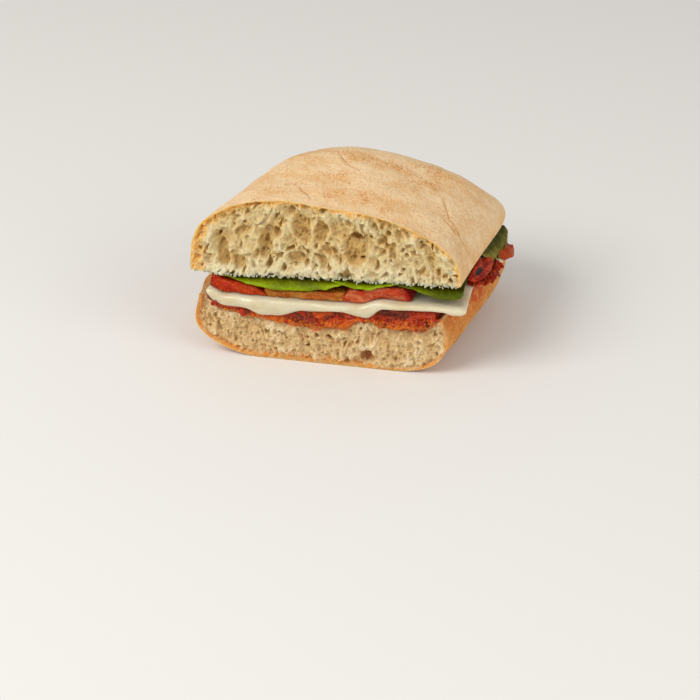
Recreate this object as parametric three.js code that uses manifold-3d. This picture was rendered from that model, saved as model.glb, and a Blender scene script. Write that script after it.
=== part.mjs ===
// One half of a grilled ciabatta sandwich, cut straight across.
// x runs along the cut face, y from the cut into the loaf, z up. Sizes are in millimetres.
import * as THREE from 'three';
import Module from 'manifold-3d';
import { mergeVertices } from 'three/addons/utils/BufferGeometryUtils.js';

const wasm = await Module();
wasm.setup();

// Air left between one piece and the next, and the raster that every corner is set to.
const GAP = 0.4;
const RASTER = 0.01;

// Each bread half: left and right ends of its cut face, how far both sides run outwards for each
// millimetre of depth, how much each swells half way, and how square its plan and its section are,
// the section at the cut and at the far end. The dome leans to the left, more so further back. The
// lower bread's sides are tucked in under its rim, the left one only near the cut.
const BREAD_BASE = {
  left: -52.4, right: 47, depth: 84, leftLean: 0.27, rightLean: 0.235, swell: [5, 0.3],
  height: 25, planPower: 7, fallPower: 3.5, squareLeft: [3.4, 2.8], squareRight: [4.2, 2],
  tuck: 0.05, leftTuckDepth: 15, flatBottom: 1.03,
};
const BREAD_TOP = {
  left: -52.8, right: 50.8, depth: 81, leftLean: 0.32, rightLean: 0.18, swell: [0, 0],
  height: 30, planPower: 4.5, fallPower: 1.9, squareLeft: [2.8, 2.55], squareRight: [2.4, 1.55],
  skew: 0.14, skewGrowth: 1.2, backLift: 0.04,
};

// Where the roll was sliced open: the level of the lid's underside, which slopes up to the right.
const SLICE_LEVEL = 36.7;
const SLICE_SLOPE = 0.03;
const SLICE_DIP = { depth: 1.1, x: -36, width: 12 };
const SLICE_FRINGE = 0.55;

// Levels along the cut face as [x, z] points, joined by smooth steps, and the levels further in.
const CRUMB_FLOOR = [[-50, 24.6], [-44, 20.8], [-30, 18], [-8, 15.6], [6, 16.6], [14, 19.6],
  [37, 19.2], [42, 20.8], [46.5, 24.8]];
const CHEESE_UNDER = [[-47, 25.6], [-38, 22.6], [-8, 22.4], [4, 23.8], [14, 24],
  [21, 26.6], [42, 27.4], [54, 27]];
const CHEESE_HANG = [[-47, 25], [-40, 22], [-31, 20.6], [-24, 18.7], [-17, 20], [-8, 22], [6, 23.2],
  [15.8, 21.2], [21.4, 26.2], [42, 27], [51, 25.2], [54, 25.4]];
const CHEESE_TOP = [[-47, 28.4], [-38, 26.9], [-24, 26.5], [12, 27], [22, 30], [54, 30.4]];
const INNER_FLOOR = 18.6;
const INNER_CHEESE_UNDER = 23;
const INNER_CHEESE_TOP = 28;
const RIGHT_SIDE_LIFT = 2;
const FRONT_REACH = 13;
const RIM_LEVEL = 24.6;

const CHEESE = {
  left: -47, right: 53.4, depth: 80, leftLean: 0.22, rightLean: 0.1, waist: 3.4, overhang: 2.4,
};
const SPREAD = { width: 0.92, depth: 0.95, shift: 0.9, lump: 0.5 };

// Tomato slices: centre, half width, half depth, thickness at the left and the right end.
const TOMATO_SLICES = [
  { name: 'tomato_slice_left', x: -35, y: 10, halfWidth: 10.3, halfDepth: 22, thickness: [5, 4.4] },
  { name: 'tomato_slice_middle', x: -9.1, y: 12, halfWidth: 15.1, halfDepth: 24, thickness: [3.6, 4] },
  { name: 'tomato_slice_front', x: 19.6, y: 12, halfWidth: 12.8, halfDepth: 25, thickness: [5.4, 5] },
  { name: 'tomato_slice_rear_left', x: -11, y: 57, halfWidth: 20, halfDepth: 18, thickness: [4.6, 4.4] },
  { name: 'tomato_slice_rear_right', x: 31, y: 58, halfWidth: 18, halfDepth: 18, thickness: [4.4, 4.8] },
];
const TOMATO_CUT = 0.2;

// Salad leaves lie flat and wavy, with an edge that may fold down outside the bread.
const LEAF_THICKNESS = 0.7;

// The first row of each bread grid is a narrow band behind the cut, as a share of rows and of depth.
const CUT_ROW = 1 / 14;
const CUT_BAND = 0.025;

// Holes that show in the crumb of the cut faces: centre x and z, half width and half height.
const TOP_HOLES = [
  [-39.9, 43.1, 2.5, 6.2], [-33.9, 39.6, 2.7, 3.2], [-38.7, 57, 2.1, 2.2], [-32.8, 53.2, 3.4, 2.6],
  [-23.2, 49.2, 1.6, 2.7], [-18.9, 53.6, 2.1, 3.3], [-9.5, 55.6, 3.8, 6], [-2.2, 55.2, 3, 5.4],
  [-11.9, 44.1, 5.2, 3.4], [11.2, 49.2, 4.7, 7.4], [3.2, 48.2, 1.6, 1.5], [23.5, 51, 1.5, 2.9],
  [33.9, 47.8, 1.7, 2], [27, 43.3, 1.8, 2], [2, 41.6, 1.8, 1.6], [-26, 42, 1.8, 2.6],
];
const BASE_HOLES = [
  [15.2, 6, 1.8, 2.1], [-6, 10.4, 1.7, 1.4], [-23, 11.6, 1.5, 2.2], [2, 12.4, 1.5, 1.2],
  [36, 14.6, 1.7, 2], [27, 8.6, 1.6, 1.5], [-33, 9.4, 1.4, 1.4],
];
const HOLE_DEPTH = 1.1;

const COLOURS = {
  crust: 0xe4c39b, spread: 0x8e2c12, cheese: 0xf1ebd3, tomato: 0xb8452c, leaf: 0x6f8f1e,
  driedTomato: 0x8a2413,
};

const mix = THREE.MathUtils.lerp;
const smooth = (from, to, value) => THREE.MathUtils.smoothstep(value, from, to);
const bump = (value, centre, width) => Math.exp(-(((value - centre) / width) ** 2));
const signedPower = (value, power) => Math.sign(value) * Math.abs(value) ** power;

// Slow waves of about one millimetre that make the soft layers uneven, the same on every run.
function waves(x, y, length, turn) {
  const a = Math.sin((x * 0.94 + y * 0.34) / length + turn);
  const b = Math.sin((y * 1.07 - x * 0.41) / length + 1.7 * turn);
  return 0.5 * (a + b * Math.sin((x - y) / (2.3 * length) + turn));
}

// Reads a level off a short list of [x, level] points, easing from each one to the next.
function levelAlong(points, x) {
  if (x <= points[0][0]) return points[0][1];
  for (let i = 1; i < points.length; i += 1) {
    const [x0, z0] = points[i - 1];
    const [x1, z1] = points[i];
    if (x <= x1) return mix(z0, z1, smooth(x0, x1, x));
  }
  return points[points.length - 1][1];
}

// A point of a half loaf: u goes round the section from the left edge to the right one, v from
// the cut to the far end. side is -1 to 1 across the section, arch its height from 0 to 1.
function loafPoint(loaf, u, v) {
  const beyond = Math.max(0, (v - CUT_ROW) / (1 - CUT_ROW));
  const along = mix(CUT_BAND * Math.min(1, v / CUT_ROW), 1, Math.sin((beyond * Math.PI) / 2) ** 0.8);
  const y = loaf.depth * along;
  const cosine = Math.cos(Math.PI * u);
  const power = 2 / mix(...(cosine > 0 ? loaf.squareLeft : loaf.squareRight), along);
  const side = -signedPower(cosine, power);
  const arch = Math.max(0, Math.sin(Math.PI * u)) ** power;
  const rest = Math.max(0, 1 - along ** loaf.planPower);
  const swelling = Math.sin(Math.PI * along);
  const left = loaf.left + loaf.leftLean * y - loaf.swell[0] * swelling;
  const right = loaf.right + loaf.rightLean * y + loaf.swell[1] * swelling;
  const halfWidth = ((right - left) / 2) * rest ** (1 / loaf.planPower);
  const middle = (left + right) / 2;
  return { x: middle + halfWidth * side, middle, y, side, arch, along, fall: rest ** (1 / loaf.fallPower) };
}

// How far a place of the lower bread is towards its rim: 0 in the middle, 1 on the rim.
function rimCloseness(x, y) {
  const along = Math.min(1, y / BREAD_BASE.depth);
  const swelling = Math.sin(Math.PI * along);
  const left = BREAD_BASE.left + BREAD_BASE.leftLean * y - BREAD_BASE.swell[0] * swelling;
  const right = BREAD_BASE.right + BREAD_BASE.rightLean * y + BREAD_BASE.swell[1] * swelling;
  const side = Math.abs((2 * x - left - right) / (right - left));
  return Math.min(1, (side ** 8 + along ** 8) ** (1 / 8));
}

// Levels of the layers at a place: near the cut they follow the cut face, further in they even out.
function layerLevel(frontPoints, innerLevel, x, y) {
  const front = Math.exp(-Math.max(0, y) / FRONT_REACH);
  const inner = innerLevel + RIGHT_SIDE_LIFT * smooth(5, 40, x) * (innerLevel > INNER_FLOOR ? 1 : 0.3);
  return mix(inner, levelAlong(frontPoints, x), front);
}

function crumbFloor(x, y) {
  const close = smooth(0.78, 1, rimCloseness(x, y));
  const floor = layerLevel(CRUMB_FLOOR, INNER_FLOOR, x, y) + 0.3 * waves(x, y, 7, 1);
  return mix(floor, Math.max(floor, RIM_LEVEL), close);
}

function cheeseUnder(x, y) {
  const sheet = layerLevel(CHEESE_UNDER, INNER_CHEESE_UNDER, x, y);
  const overRim = RIM_LEVEL + 1.3;
  return mix(sheet, Math.max(sheet, overRim), smooth(0.7, 0.93, rimCloseness(x, y)));
}

function cheeseTop(x, y) {
  const sheet = layerLevel(CHEESE_TOP, INNER_CHEESE_TOP, x, y) + 0.35 * waves(x, y, 9, 2);
  return Math.max(sheet, cheeseUnder(x, y) + 2.6);
}

function lidUnderside(x, y) {
  const dip = SLICE_DIP.depth * bump(x, SLICE_DIP.x, SLICE_DIP.width) * Math.exp(-y / FRONT_REACH);
  return SLICE_LEVEL + SLICE_SLOPE * x - dip;
}

// The torn fringe of crumb along the lid's sliced edge, only on the cut itself.
function fringe(x, y) {
  const teeth = Math.sin(2.3 * x) + 0.7 * Math.sin(3.9 * x + 1) + 0.5 * Math.sin(6.1 * x + 2);
  return SLICE_FRINGE * teeth * Math.exp(-y / 1.2);
}

// Turns a geometry into one with shared corners, set to a fine raster, and no faces without area.
function tidyGeometry(geometry) {
  geometry.deleteAttribute('normal');
  geometry.deleteAttribute('uv');
  const places = geometry.attributes.position.array;
  places.forEach((value, i) => { places[i] = Math.round(value / RASTER) * RASTER; });
  const merged = mergeVertices(geometry, RASTER / 4);
  const corners = merged.index.array;
  const kept = [];
  for (let i = 0; i < corners.length; i += 3) {
    const [a, b, c] = [corners[i], corners[i + 1], corners[i + 2]];
    if (a !== b && b !== c && c !== a) kept.push(a, b, c);
  }
  merged.setIndex(kept);
  return merged;
}

// A closed body between an upper and a lower sheet on the same grid, both split into triangles
// alike, with a wall wherever their edges lie apart. Both take u and v from 0 to 1.
function slab(columns, rows, upper, lower) {
  const grid = new THREE.PlaneGeometry(1, 1, columns, rows);
  const places = grid.attributes.position;
  const corners = [];
  for (const sheet of [upper, lower]) {
    for (let i = 0; i < places.count; i += 1) {
      corners.push(...sheet(places.getX(i) + 0.5, places.getY(i) + 0.5));
    }
  }
  const faces = [];
  const under = places.count;
  const index = grid.index.array;
  for (let i = 0; i < index.length; i += 3) {
    const [a, b, c] = [index[i], index[i + 1], index[i + 2]];
    faces.push(a, b, c, under + a, under + c, under + b);
  }
  const wall = (a, b) => faces.push(under + a, under + b, b, under + a, b, a);
  const spot = (column, row) => (rows - row) * (columns + 1) + column;
  for (let i = 0; i < columns; i += 1) {
    wall(spot(i, 0), spot(i + 1, 0));
    wall(spot(i + 1, rows), spot(i, rows));
  }
  for (let j = 0; j < rows; j += 1) {
    wall(spot(columns, j), spot(columns, j + 1));
    wall(spot(0, j + 1), spot(0, j));
  }
  const geometry = new THREE.BufferGeometry();
  geometry.setAttribute('position', new THREE.Float32BufferAttribute(corners, 3));
  geometry.setIndex(faces);
  return tidyGeometry(geometry);
}

// A thin sheet of even thickness round a middle surface that maps u and v to a Vector3.
function thinSheet(columns, rows, middle, thickness) {
  const step = 0.01;
  const offset = (u, v, sign) => {
    const alongU = middle(Math.min(1, u + step), v).sub(middle(Math.max(0, u - step), v));
    const alongV = middle(u, Math.min(1, v + step)).sub(middle(u, Math.max(0, v - step)));
    const normal = alongU.cross(alongV).normalize();
    return middle(u, v).addScaledVector(normal, (sign * thickness) / 2).toArray();
  };
  return slab(columns, rows, (u, v) => offset(u, v, 1), (u, v) => offset(u, v, -1));
}

function toManifold(geometry) {
  return new wasm.Manifold(new wasm.Mesh({
    numProp: 3,
    vertProperties: new Float32Array(geometry.attributes.position.array),
    triVerts: new Uint32Array(geometry.index.array),
  }));
}

function fromManifold(solid) {
  const mesh = solid.getMesh();
  const geometry = new THREE.BufferGeometry();
  geometry.setAttribute('position', new THREE.Float32BufferAttribute(mesh.vertProperties, 3));
  geometry.setIndex(new THREE.Uint32BufferAttribute(mesh.triVerts, 1));
  return tidyGeometry(geometry);
}

// Opens the large holes of the crumb in the cut face, which lies at y = 0.
function cutHoles(geometry, holes) {
  let solid = toManifold(geometry);
  holes.forEach(([x, z, halfWidth, halfHeight], i) => {
    const bubble = new THREE.IcosahedronGeometry(1, 1);
    bubble.rotateY(i);
    const depth = HOLE_DEPTH * Math.min(halfWidth, halfHeight) + 0.8;
    bubble.scale(halfWidth, depth, halfHeight);
    bubble.translate(x, 0.1 * depth, z);
    solid = solid.subtract(toManifold(tidyGeometry(bubble)));
  });
  return fromManifold(solid);
}

function breadBase() {
  const tuckAt = (p) => BREAD_BASE.tuck * (p.side < 0 ? 1 - smooth(0, BREAD_BASE.leftTuckDepth, p.y) : 1);
  const crust = (u, v) => {
    const p = loafPoint(BREAD_BASE, u, v);
    const z = BREAD_BASE.height * (1 - BREAD_BASE.flatBottom * p.arch * p.fall);
    const tuck = 1 - tuckAt(p) * (1 - smooth(0, 0.5, p.arch));
    return [p.middle + (p.x - p.middle) * tuck, p.y, Math.max(0, z)];
  };
  const crumb = (u, v) => {
    const p = loafPoint(BREAD_BASE, u, v);
    const x = p.middle + (p.x - p.middle) * (1 - tuckAt(p));
    return [x, p.y, mix(BREAD_BASE.height, crumbFloor(x, p.y), Math.min(1, 6 * p.arch * p.fall))];
  };
  return cutHoles(slab(28, 14, crumb, crust), BASE_HOLES);
}

function breadTop() {
  const under = (u, v) => {
    const p = loafPoint(BREAD_TOP, u, v);
    return [p.x, p.y, lidUnderside(p.x, p.y) + fringe(p.x, p.y) * Math.min(1, 4 * p.arch)];
  };
  const crust = (u, v) => {
    const p = loafPoint(BREAD_TOP, u, v);
    const lift = 1 + BREAD_TOP.backLift * p.along;
    const lean = 1 - BREAD_TOP.skew * p.side * (1 + BREAD_TOP.skewGrowth * p.along);
    const rise = BREAD_TOP.height * lift * lean * p.arch * p.fall;
    return [p.x, p.y, lidUnderside(p.x, p.y) + rise];
  };
  return cutHoles(slab(36, 14, crust, under), TOP_HOLES);
}

// Chunky dried tomato spread: it fills the room between the lower crumb and the cheese.
function tomatoSpread() {
  const place = (u, v) => {
    const p = loafPoint(BREAD_BASE, u, v);
    const centre = p.middle + SPREAD.shift;
    return { x: centre + (p.x - centre) * SPREAD.width, y: p.y * SPREAD.depth, rim: p.arch * p.fall };
  };
  const lower = (u, v) => {
    const { x, y } = place(u, v);
    return [x, y, crumbFloor(x, y) + GAP];
  };
  const upper = (u, v) => {
    const { x, y, rim } = place(u, v);
    const bottom = crumbFloor(x, y) + GAP;
    const lump = SPREAD.lump * (1 + waves(x, y, 1.7, 3));
    const top = Math.max(bottom + 0.5, cheeseUnder(x, y) - GAP - lump);
    return [x, y, mix(bottom, top, Math.min(1, 2.5 * rim))];
  };
  return slab(22, 14, upper, lower);
}

// Melted mozzarella: a sheet over the spread whose front edge folds over the cut and drips.
function mozzarella() {
  const lipRows = 4;
  const sheetRows = 9;
  const lipShare = lipRows / (lipRows + sheetRows);
  const place = (u, v) => {
    const along = v < lipShare ? 0 : ((v - lipShare) / (1 - lipShare)) ** 0.9;
    const y = mix(0.5, CHEESE.depth, along);
    const left = CHEESE.left + CHEESE.leftLean * y - 2 * Math.sin(Math.PI * along);
    const waist = CHEESE.waist * Math.sin(Math.PI * Math.min(1, 1.25 * along));
    const right = CHEESE.right + CHEESE.rightLean * y - waist;
    const side = -Math.cos(Math.PI * u);
    const plan = (1 - along ** 7) ** (1 / 7);
    const x = (left + right) / 2 + ((right - left) / 2) * side * plan;
    const ends = Math.abs(side) ** 10;
    return { x, y, along, ends, lip: v < lipShare ? 1 - v / lipShare : 0 };
  };
  const hang = (x, y) => Math.min(levelAlong(CHEESE_HANG, x), cheeseUnder(x, y) - 0.2);
  const upper = (u, v) => {
    const { x, y, along, ends, lip } = place(u, v);
    const rim = Math.max(ends, along ** 12);
    const top = mix(cheeseTop(x, y), cheeseUnder(x, y) + 0.9, rim);
    const turn = lip * 1.9;
    const low = mix(hang(x, y), cheeseUnder(x, y) + 0.2, ends);
    const outward = (CHEESE.overhang + 0.5) * Math.sin(turn) * (1 - 0.6 * ends);
    return [x, y - outward, mix(top, low, lip * (1 - Math.cos(Math.min(turn, Math.PI / 2))))];
  };
  const lower = (u, v) => {
    const { x, y, along, ends, lip } = place(u, v);
    const under = mix(cheeseUnder(x, y), cheeseUnder(x, y) + 0.5, Math.max(ends, along ** 12));
    const low = mix(hang(x, y) + 0.3, under, ends);
    const inward = 1.05 * smooth(0, 0.3, lip);
    return [x, y - inward, mix(under, low, smooth(0.2, 1, lip))];
  };
  return slab(32, lipRows + sheetRows, upper, lower);
}

// A round tomato slice on the cheese, cut off at the cut face where it reaches that far.
function tomatoSlice({ x, y, halfWidth, halfDepth, thickness }) {
  const front = Math.max(TOMATO_CUT, y - halfDepth);
  const back = y + halfDepth;
  const place = (u, v) => {
    const depth = mix(front, back, 0.5 - 0.5 * Math.cos(Math.PI * v));
    const offset = Math.abs((depth - y) / halfDepth);
    const width = halfWidth * Math.max(0, 1 - offset ** 2.4) ** (1 / 2.4);
    const side = -Math.cos(Math.PI * u);
    const fromRim = 1 - Math.hypot((width * side) / halfWidth, offset);
    const cutOff = depth < y && front > y - halfDepth ? 1 : 0;
    const rim = Math.min(1, 5 * Math.max(0, cutOff ? 1 - Math.abs(side) : fromRim));
    return { px: x + width * side, py: depth, side: (width * side) / halfWidth, rim };
  };
  const lower = (u, v) => {
    const { px, py, rim } = place(u, v);
    return [px, py, cheeseTop(px, py) + GAP + 0.7 * (1 - rim)];
  };
  const upper = (u, v) => {
    const { px, py, side, rim } = place(u, v);
    const thick = mix(thickness[0], thickness[1], (side + 1) / 2);
    return [px, py, cheeseTop(px, py) + GAP + thick - 0.7 * (1 - rim)];
  };
  return slab(12, 9, upper, lower);
}

// The level of whatever a leaf lies on: the tomato slices where there are some, else the cheese.
function fillingTop(x, y) {
  let level = cheeseTop(x, y) + 1.6;
  for (const slice of TOMATO_SLICES) {
    const across = (x - slice.x) / slice.halfWidth;
    const away = Math.hypot(across, (y - slice.y) / slice.halfDepth);
    const thick = mix(slice.thickness[0], slice.thickness[1], THREE.MathUtils.clamp((across + 1) / 2, 0, 1));
    level = Math.max(level, cheeseTop(x, y) + GAP + thick * smooth(1.35, 1.1, away));
  }
  return level;
}

// A leaf between the filling and the lid. Its length runs from start to end in plan, and fold is
// how far its near side hangs down outside the bread.
function leaf({ start, end, width, fold, foldOut, ripple, lift }) {
  const from = new THREE.Vector2(...start);
  const to = new THREE.Vector2(...end);
  const length = to.clone().sub(from);
  const sideways = new THREE.Vector2(-length.y, length.x).normalize();
  const middle = (u, v) => {
    const halfWidth = Math.sin(Math.PI * mix(0.04, 0.96, u)) ** 0.7;
    const near = fold * halfWidth;
    const across = mix(-near, width * halfWidth, v);
    const inside = Math.max(0, across);
    const outside = Math.max(0, -across);
    const plan = from.clone().addScaledVector(length, u).addScaledVector(sideways, inside);
    plan.addScaledVector(sideways, -foldOut * (1 - Math.exp(-outside / foldOut)));
    const room = lidUnderside(plan.x, plan.y) - GAP - LEAF_THICKNESS / 2 - 0.15;
    const bed = fillingTop(plan.x, plan.y) + GAP + LEAF_THICKNESS / 2;
    const frill = ripple * Math.sin(7 * Math.PI * u) * (outside / Math.max(1, fold));
    const level = Math.min(room, mix(bed, room, lift));
    return new THREE.Vector3(plan.x, plan.y, level - 0.85 * outside + frill);
  };
  return thinSheet(13, 6, middle, LEAF_THICKNESS);
}

// A chunk of dried tomato: a flattened lump with a wrinkled skin.
function driedTomato({ centre, size, turn, droop }) {
  const place = (u, v, sign) => {
    const a = 2 * u - 1;
    const b = 2 * v - 1;
    const x = a * Math.sqrt(1 - (b * b) / 2);
    const y = b * Math.sqrt(1 - (a * a) / 2);
    const edge = Math.sqrt(Math.max(0.03, 1 - x * x - y * y));
    const wrinkle = 1 + 0.16 * Math.sin(5 * x + turn) + 0.14 * Math.sin(6 * y - 2 * turn);
    const px = (size[0] / 2) * x;
    const py = (size[1] / 2) * y * (1 + 0.12 * Math.sin(3 * x + turn));
    const z = sign * (size[2] / 2) * edge * wrinkle - droop * Math.max(0, x) ** 2;
    return new THREE.Vector3(px, py, z).applyAxisAngle(new THREE.Vector3(0, 0, 1), turn);
  };
  const point = (u, v, sign) => place(u, v, sign).add(new THREE.Vector3(...centre)).toArray();
  return slab(9, 9, (u, v) => point(u, v, 1), (u, v) => point(u, v, -1));
}

const LEAVES = [
  { name: 'leaf_front_left', start: [-42, 0.2], end: [8, 0.2],
    width: 22, fold: 5, foldOut: 2, ripple: 0.5, lift: 0.4 },
  { name: 'leaf_front_middle', start: [9.5, -1.2], end: [27, -1.2],
    width: 15, fold: 1.4, foldOut: 1, ripple: 0.3, lift: 0.42 },
  { name: 'leaf_front_right', start: [28, 0.2], end: [53, 0.2],
    width: 20, fold: 5, foldOut: 2, ripple: 0.4, lift: 0.9 },
  { name: 'leaf_side_rear', start: [53.6, 35], end: [58.6, 59],
    width: 15, fold: 4, foldOut: 4, ripple: 1, lift: 0.75 },
  { name: 'leaf_left', start: [-33, 62], end: [-42, 30],
    width: 16, fold: 6, foldOut: 5, ripple: 0.8, lift: 0.5 },
  { name: 'leaf_back', start: [38, 76], end: [-2, 76],
    width: 16, fold: 6, foldOut: 5, ripple: 0.9, lift: 0.5 },
];
const DRIED_TOMATOES = [
  { name: 'dried_tomato_side', centre: [53.8, 27.5, 33.2], size: [8, 21, 3.4], turn: -0.22, droop: 1.5 },
  { name: 'dried_tomato_rear', centre: [60, 52.5, 30.2], size: [8, 11, 4.6], turn: -0.2, droop: 1 },
];

const finish = (color, roughness) => new THREE.MeshStandardMaterial({ color, roughness, metalness: 0 });
const materials = {
  bread: finish(COLOURS.crust, 0.85),
  spread: finish(COLOURS.spread, 0.35),
  cheese: finish(COLOURS.cheese, 0.3),
  tomato: finish(COLOURS.tomato, 0.3),
  leaf: finish(COLOURS.leaf, 0.45),
  driedTomato: finish(COLOURS.driedTomato, 0.4),
};

const sandwich = new THREE.Group();

function add(name, geometry, material) {
  const mesh = new THREE.Mesh(geometry, material);
  mesh.name = name;
  sandwich.add(mesh);
}

add('bread_base', breadBase(), materials.bread);
add('tomato_spread', tomatoSpread(), materials.spread);
add('mozzarella', mozzarella(), materials.cheese);
for (const slice of TOMATO_SLICES) add(slice.name, tomatoSlice(slice), materials.tomato);
for (const shape of LEAVES) add(shape.name, leaf(shape), materials.leaf);
for (const chunk of DRIED_TOMATOES) add(chunk.name, driedTomato(chunk), materials.driedTomato);
add('bread_top', breadTop(), materials.bread);

// The origin is the middle of the underside of the whole.
const box = new THREE.Box3().setFromObject(sandwich);
sandwich.position.set(-(box.min.x + box.max.x) / 2, -(box.min.y + box.max.y) / 2, -box.min.z);

export default sandwich;
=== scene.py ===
import math
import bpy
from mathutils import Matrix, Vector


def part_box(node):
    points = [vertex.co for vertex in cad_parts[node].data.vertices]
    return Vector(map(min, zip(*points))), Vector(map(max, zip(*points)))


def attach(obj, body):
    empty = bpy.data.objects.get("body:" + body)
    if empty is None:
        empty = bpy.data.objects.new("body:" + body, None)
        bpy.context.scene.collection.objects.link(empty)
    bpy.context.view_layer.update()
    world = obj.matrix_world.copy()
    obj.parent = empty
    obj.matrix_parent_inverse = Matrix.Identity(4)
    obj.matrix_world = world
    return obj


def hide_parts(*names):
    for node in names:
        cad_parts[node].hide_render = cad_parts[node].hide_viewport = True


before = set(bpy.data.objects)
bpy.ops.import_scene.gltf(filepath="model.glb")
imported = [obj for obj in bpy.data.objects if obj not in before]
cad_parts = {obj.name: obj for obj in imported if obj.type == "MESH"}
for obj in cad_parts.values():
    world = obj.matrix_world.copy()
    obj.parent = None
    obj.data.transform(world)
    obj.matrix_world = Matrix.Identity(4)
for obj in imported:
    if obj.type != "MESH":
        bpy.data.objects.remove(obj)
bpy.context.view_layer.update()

from types import SimpleNamespace

import bmesh
import bpy
import numpy as np
from mathutils import Matrix, Vector


# The picture: pale seamless paper, a large soft lamp at the upper left, a weaker one at the right and
# a long lens that looks down on the cut. Every piece is worked out in millimetres from the middle of
# the cut, where the middle of the front tomato slice lies 19.6 mm to the right.
MM = 0.001
FRONT_SLICE_X = 19.6
slice_low, slice_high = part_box("tomato_slice_front")
CUT_MIDDLE = Vector((
    (slice_low.x + slice_high.x) / 2 - FRONT_SLICE_X * MM,
    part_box("bread_base")[0].y,
    0,
))
PICTURE_PIXELS = 700
SENSOR = 36
LENS = 100
CAMERA_TURN = math.radians(12)
CAMERA_RAISE = math.radians(26)
CAMERA_DISTANCE = 770
AIM = Vector((0, 43, 30))
AIM_PIXELS_ABOVE_MIDDLE = 104.5
PAPER_SIZE = 12
PAPER_COLOUR = (0.8, 0.79, 0.77, 1)
PAPER_ROUGHNESS = 0.9
ROOM_COLOUR = (1, 0.98, 0.95, 1)
ROOM_STRENGTH = 0.5
LAMPS = {
    "key_lamp": dict(place=(-0.75, -0.75, 0.95), size=0.75, power=13, colour=(1, 0.975, 0.94)),
    "fill_lamp": dict(place=(0.95, -0.55, 0.6), size=0.9, power=4.6, colour=(1, 0.985, 0.97)),
}


def aimed(place, target, up=Vector((0, 0, 1))):
    """The matrix of a lamp or camera at a place that looks along its own -Z at the target."""
    back = (place - target).normalized()
    right = up.cross(back).normalized()
    turn = Matrix((right, back.cross(right), back)).transposed()
    return Matrix.Translation(place) @ turn.to_4x4()


scene = bpy.context.scene
scene.view_settings.view_transform = "Standard"
scene.world = bpy.data.worlds.new("studio")
scene.world.use_nodes = True
room = scene.world.node_tree.nodes["Background"]
room.inputs["Color"].default_value = ROOM_COLOUR
room.inputs["Strength"].default_value = ROOM_STRENGTH

back = Vector((
    math.sin(CAMERA_TURN) * math.cos(CAMERA_RAISE),
    -math.cos(CAMERA_TURN) * math.cos(CAMERA_RAISE),
    math.sin(CAMERA_RAISE),
))
aim = CUT_MIDDLE + AIM * MM
eye = aim + back * CAMERA_DISTANCE * MM
drop = math.atan(AIM_PIXELS_ABOVE_MIDDLE * SENSOR / LENS / PICTURE_PIXELS)
above = back.cross(Vector((0, 0, 1)).cross(back)).normalized()
lens = bpy.data.cameras.new("camera")
lens.lens = LENS
lens.sensor_width = SENSOR
lens.clip_end = 100
camera = bpy.data.objects.new("camera", lens)
camera.matrix_world = aimed(eye, eye - back * math.cos(drop) - above * math.sin(drop))
scene.collection.objects.link(camera)
scene.camera = camera

for name, lamp in LAMPS.items():
    light = bpy.data.lights.new(name, "AREA")
    light.size = lamp["size"]
    light.energy = lamp["power"]
    light.color = lamp["colour"]
    holder = bpy.data.objects.new(name, light)
    holder.matrix_world = aimed(Vector(lamp["place"]), aim)
    scene.collection.objects.link(holder)

paper_mesh = bpy.data.meshes.new("paper")
half_paper = PAPER_SIZE / 2
paper_mesh.from_pydata(
    [(-half_paper, -half_paper, 0), (half_paper, -half_paper, 0),
     (half_paper, half_paper, 0), (-half_paper, half_paper, 0)],
    [], [(0, 1, 2, 3)],
)
paper_finish = bpy.data.materials.new("paper")
paper_finish.use_nodes = True
paper_shader = paper_finish.node_tree.nodes["Principled BSDF"]
paper_shader.inputs["Base Color"].default_value = PAPER_COLOUR
paper_shader.inputs["Roughness"].default_value = PAPER_ROUGHNESS
paper_mesh.materials.append(paper_finish)
paper = bpy.data.objects.new("paper", paper_mesh)
scene.collection.objects.link(paper)


# The lower bread: the bottom half of a square ciabatta, baked tan with a flat floury underside
# and cut straight across, so that its open crumb shows in front and, under the filling, on top.
# Crust, sliced crumb and cut face are three grids that share their edges.
BREAD_BASE = dict(
    left=-52.4, right=47, depth=84, left_lean=0.27, right_lean=0.235, swell=(5, 0.3), height=25,
    plan_power=7, fall_power=3.5, square_left=(3.4, 2.8), square_right=(4.2, 2),
)
BASE_TUCK = 0.05
LEFT_TUCK_DEPTH = 15
FLAT_BOTTOM = 1.03
CRUMB_FLOOR = [
    (-50, 24.6), (-46.5, 23), (-43, 21), (-39, 19.5), (-30, 18), (-8, 15.6), (7, 16.8), (12.5, 19.9),
    (16.5, 20.3), (21.5, 18.7), (37, 18.9), (42, 20.8), (46.5, 24.8),
]
INNER_FLOOR = 18.6
RIM_LEVEL = 24.6
RIGHT_SIDE_LIFT = 2
FRONT_REACH = 13
ROWS = 120
FACE_COLUMNS = 540
CRUST_SHARE = 2
CRUMB_SHARE = 9
BASE_FACE_ROWS = 96
WELD = 0.002


def mix(start, end, share):
    """Start at 0, end at 1, and in proportion between them."""
    return start + (end - start) * share


def smooth(start, end, value):
    """0 up to start, 1 from end on, and three squares less two cubes of the share between them."""
    share = np.clip((value - start) / (end - start), 0, 1)
    return share * share * (3 - 2 * share)


def signed_power(value, power):
    """The power of the size of a number, with the number's own sign."""
    return np.sign(value) * np.abs(value) ** power


LATTICE_SIDE = 32
LATTICE = np.random.default_rng(11).random((LATTICE_SIDE,) * 3)


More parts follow.
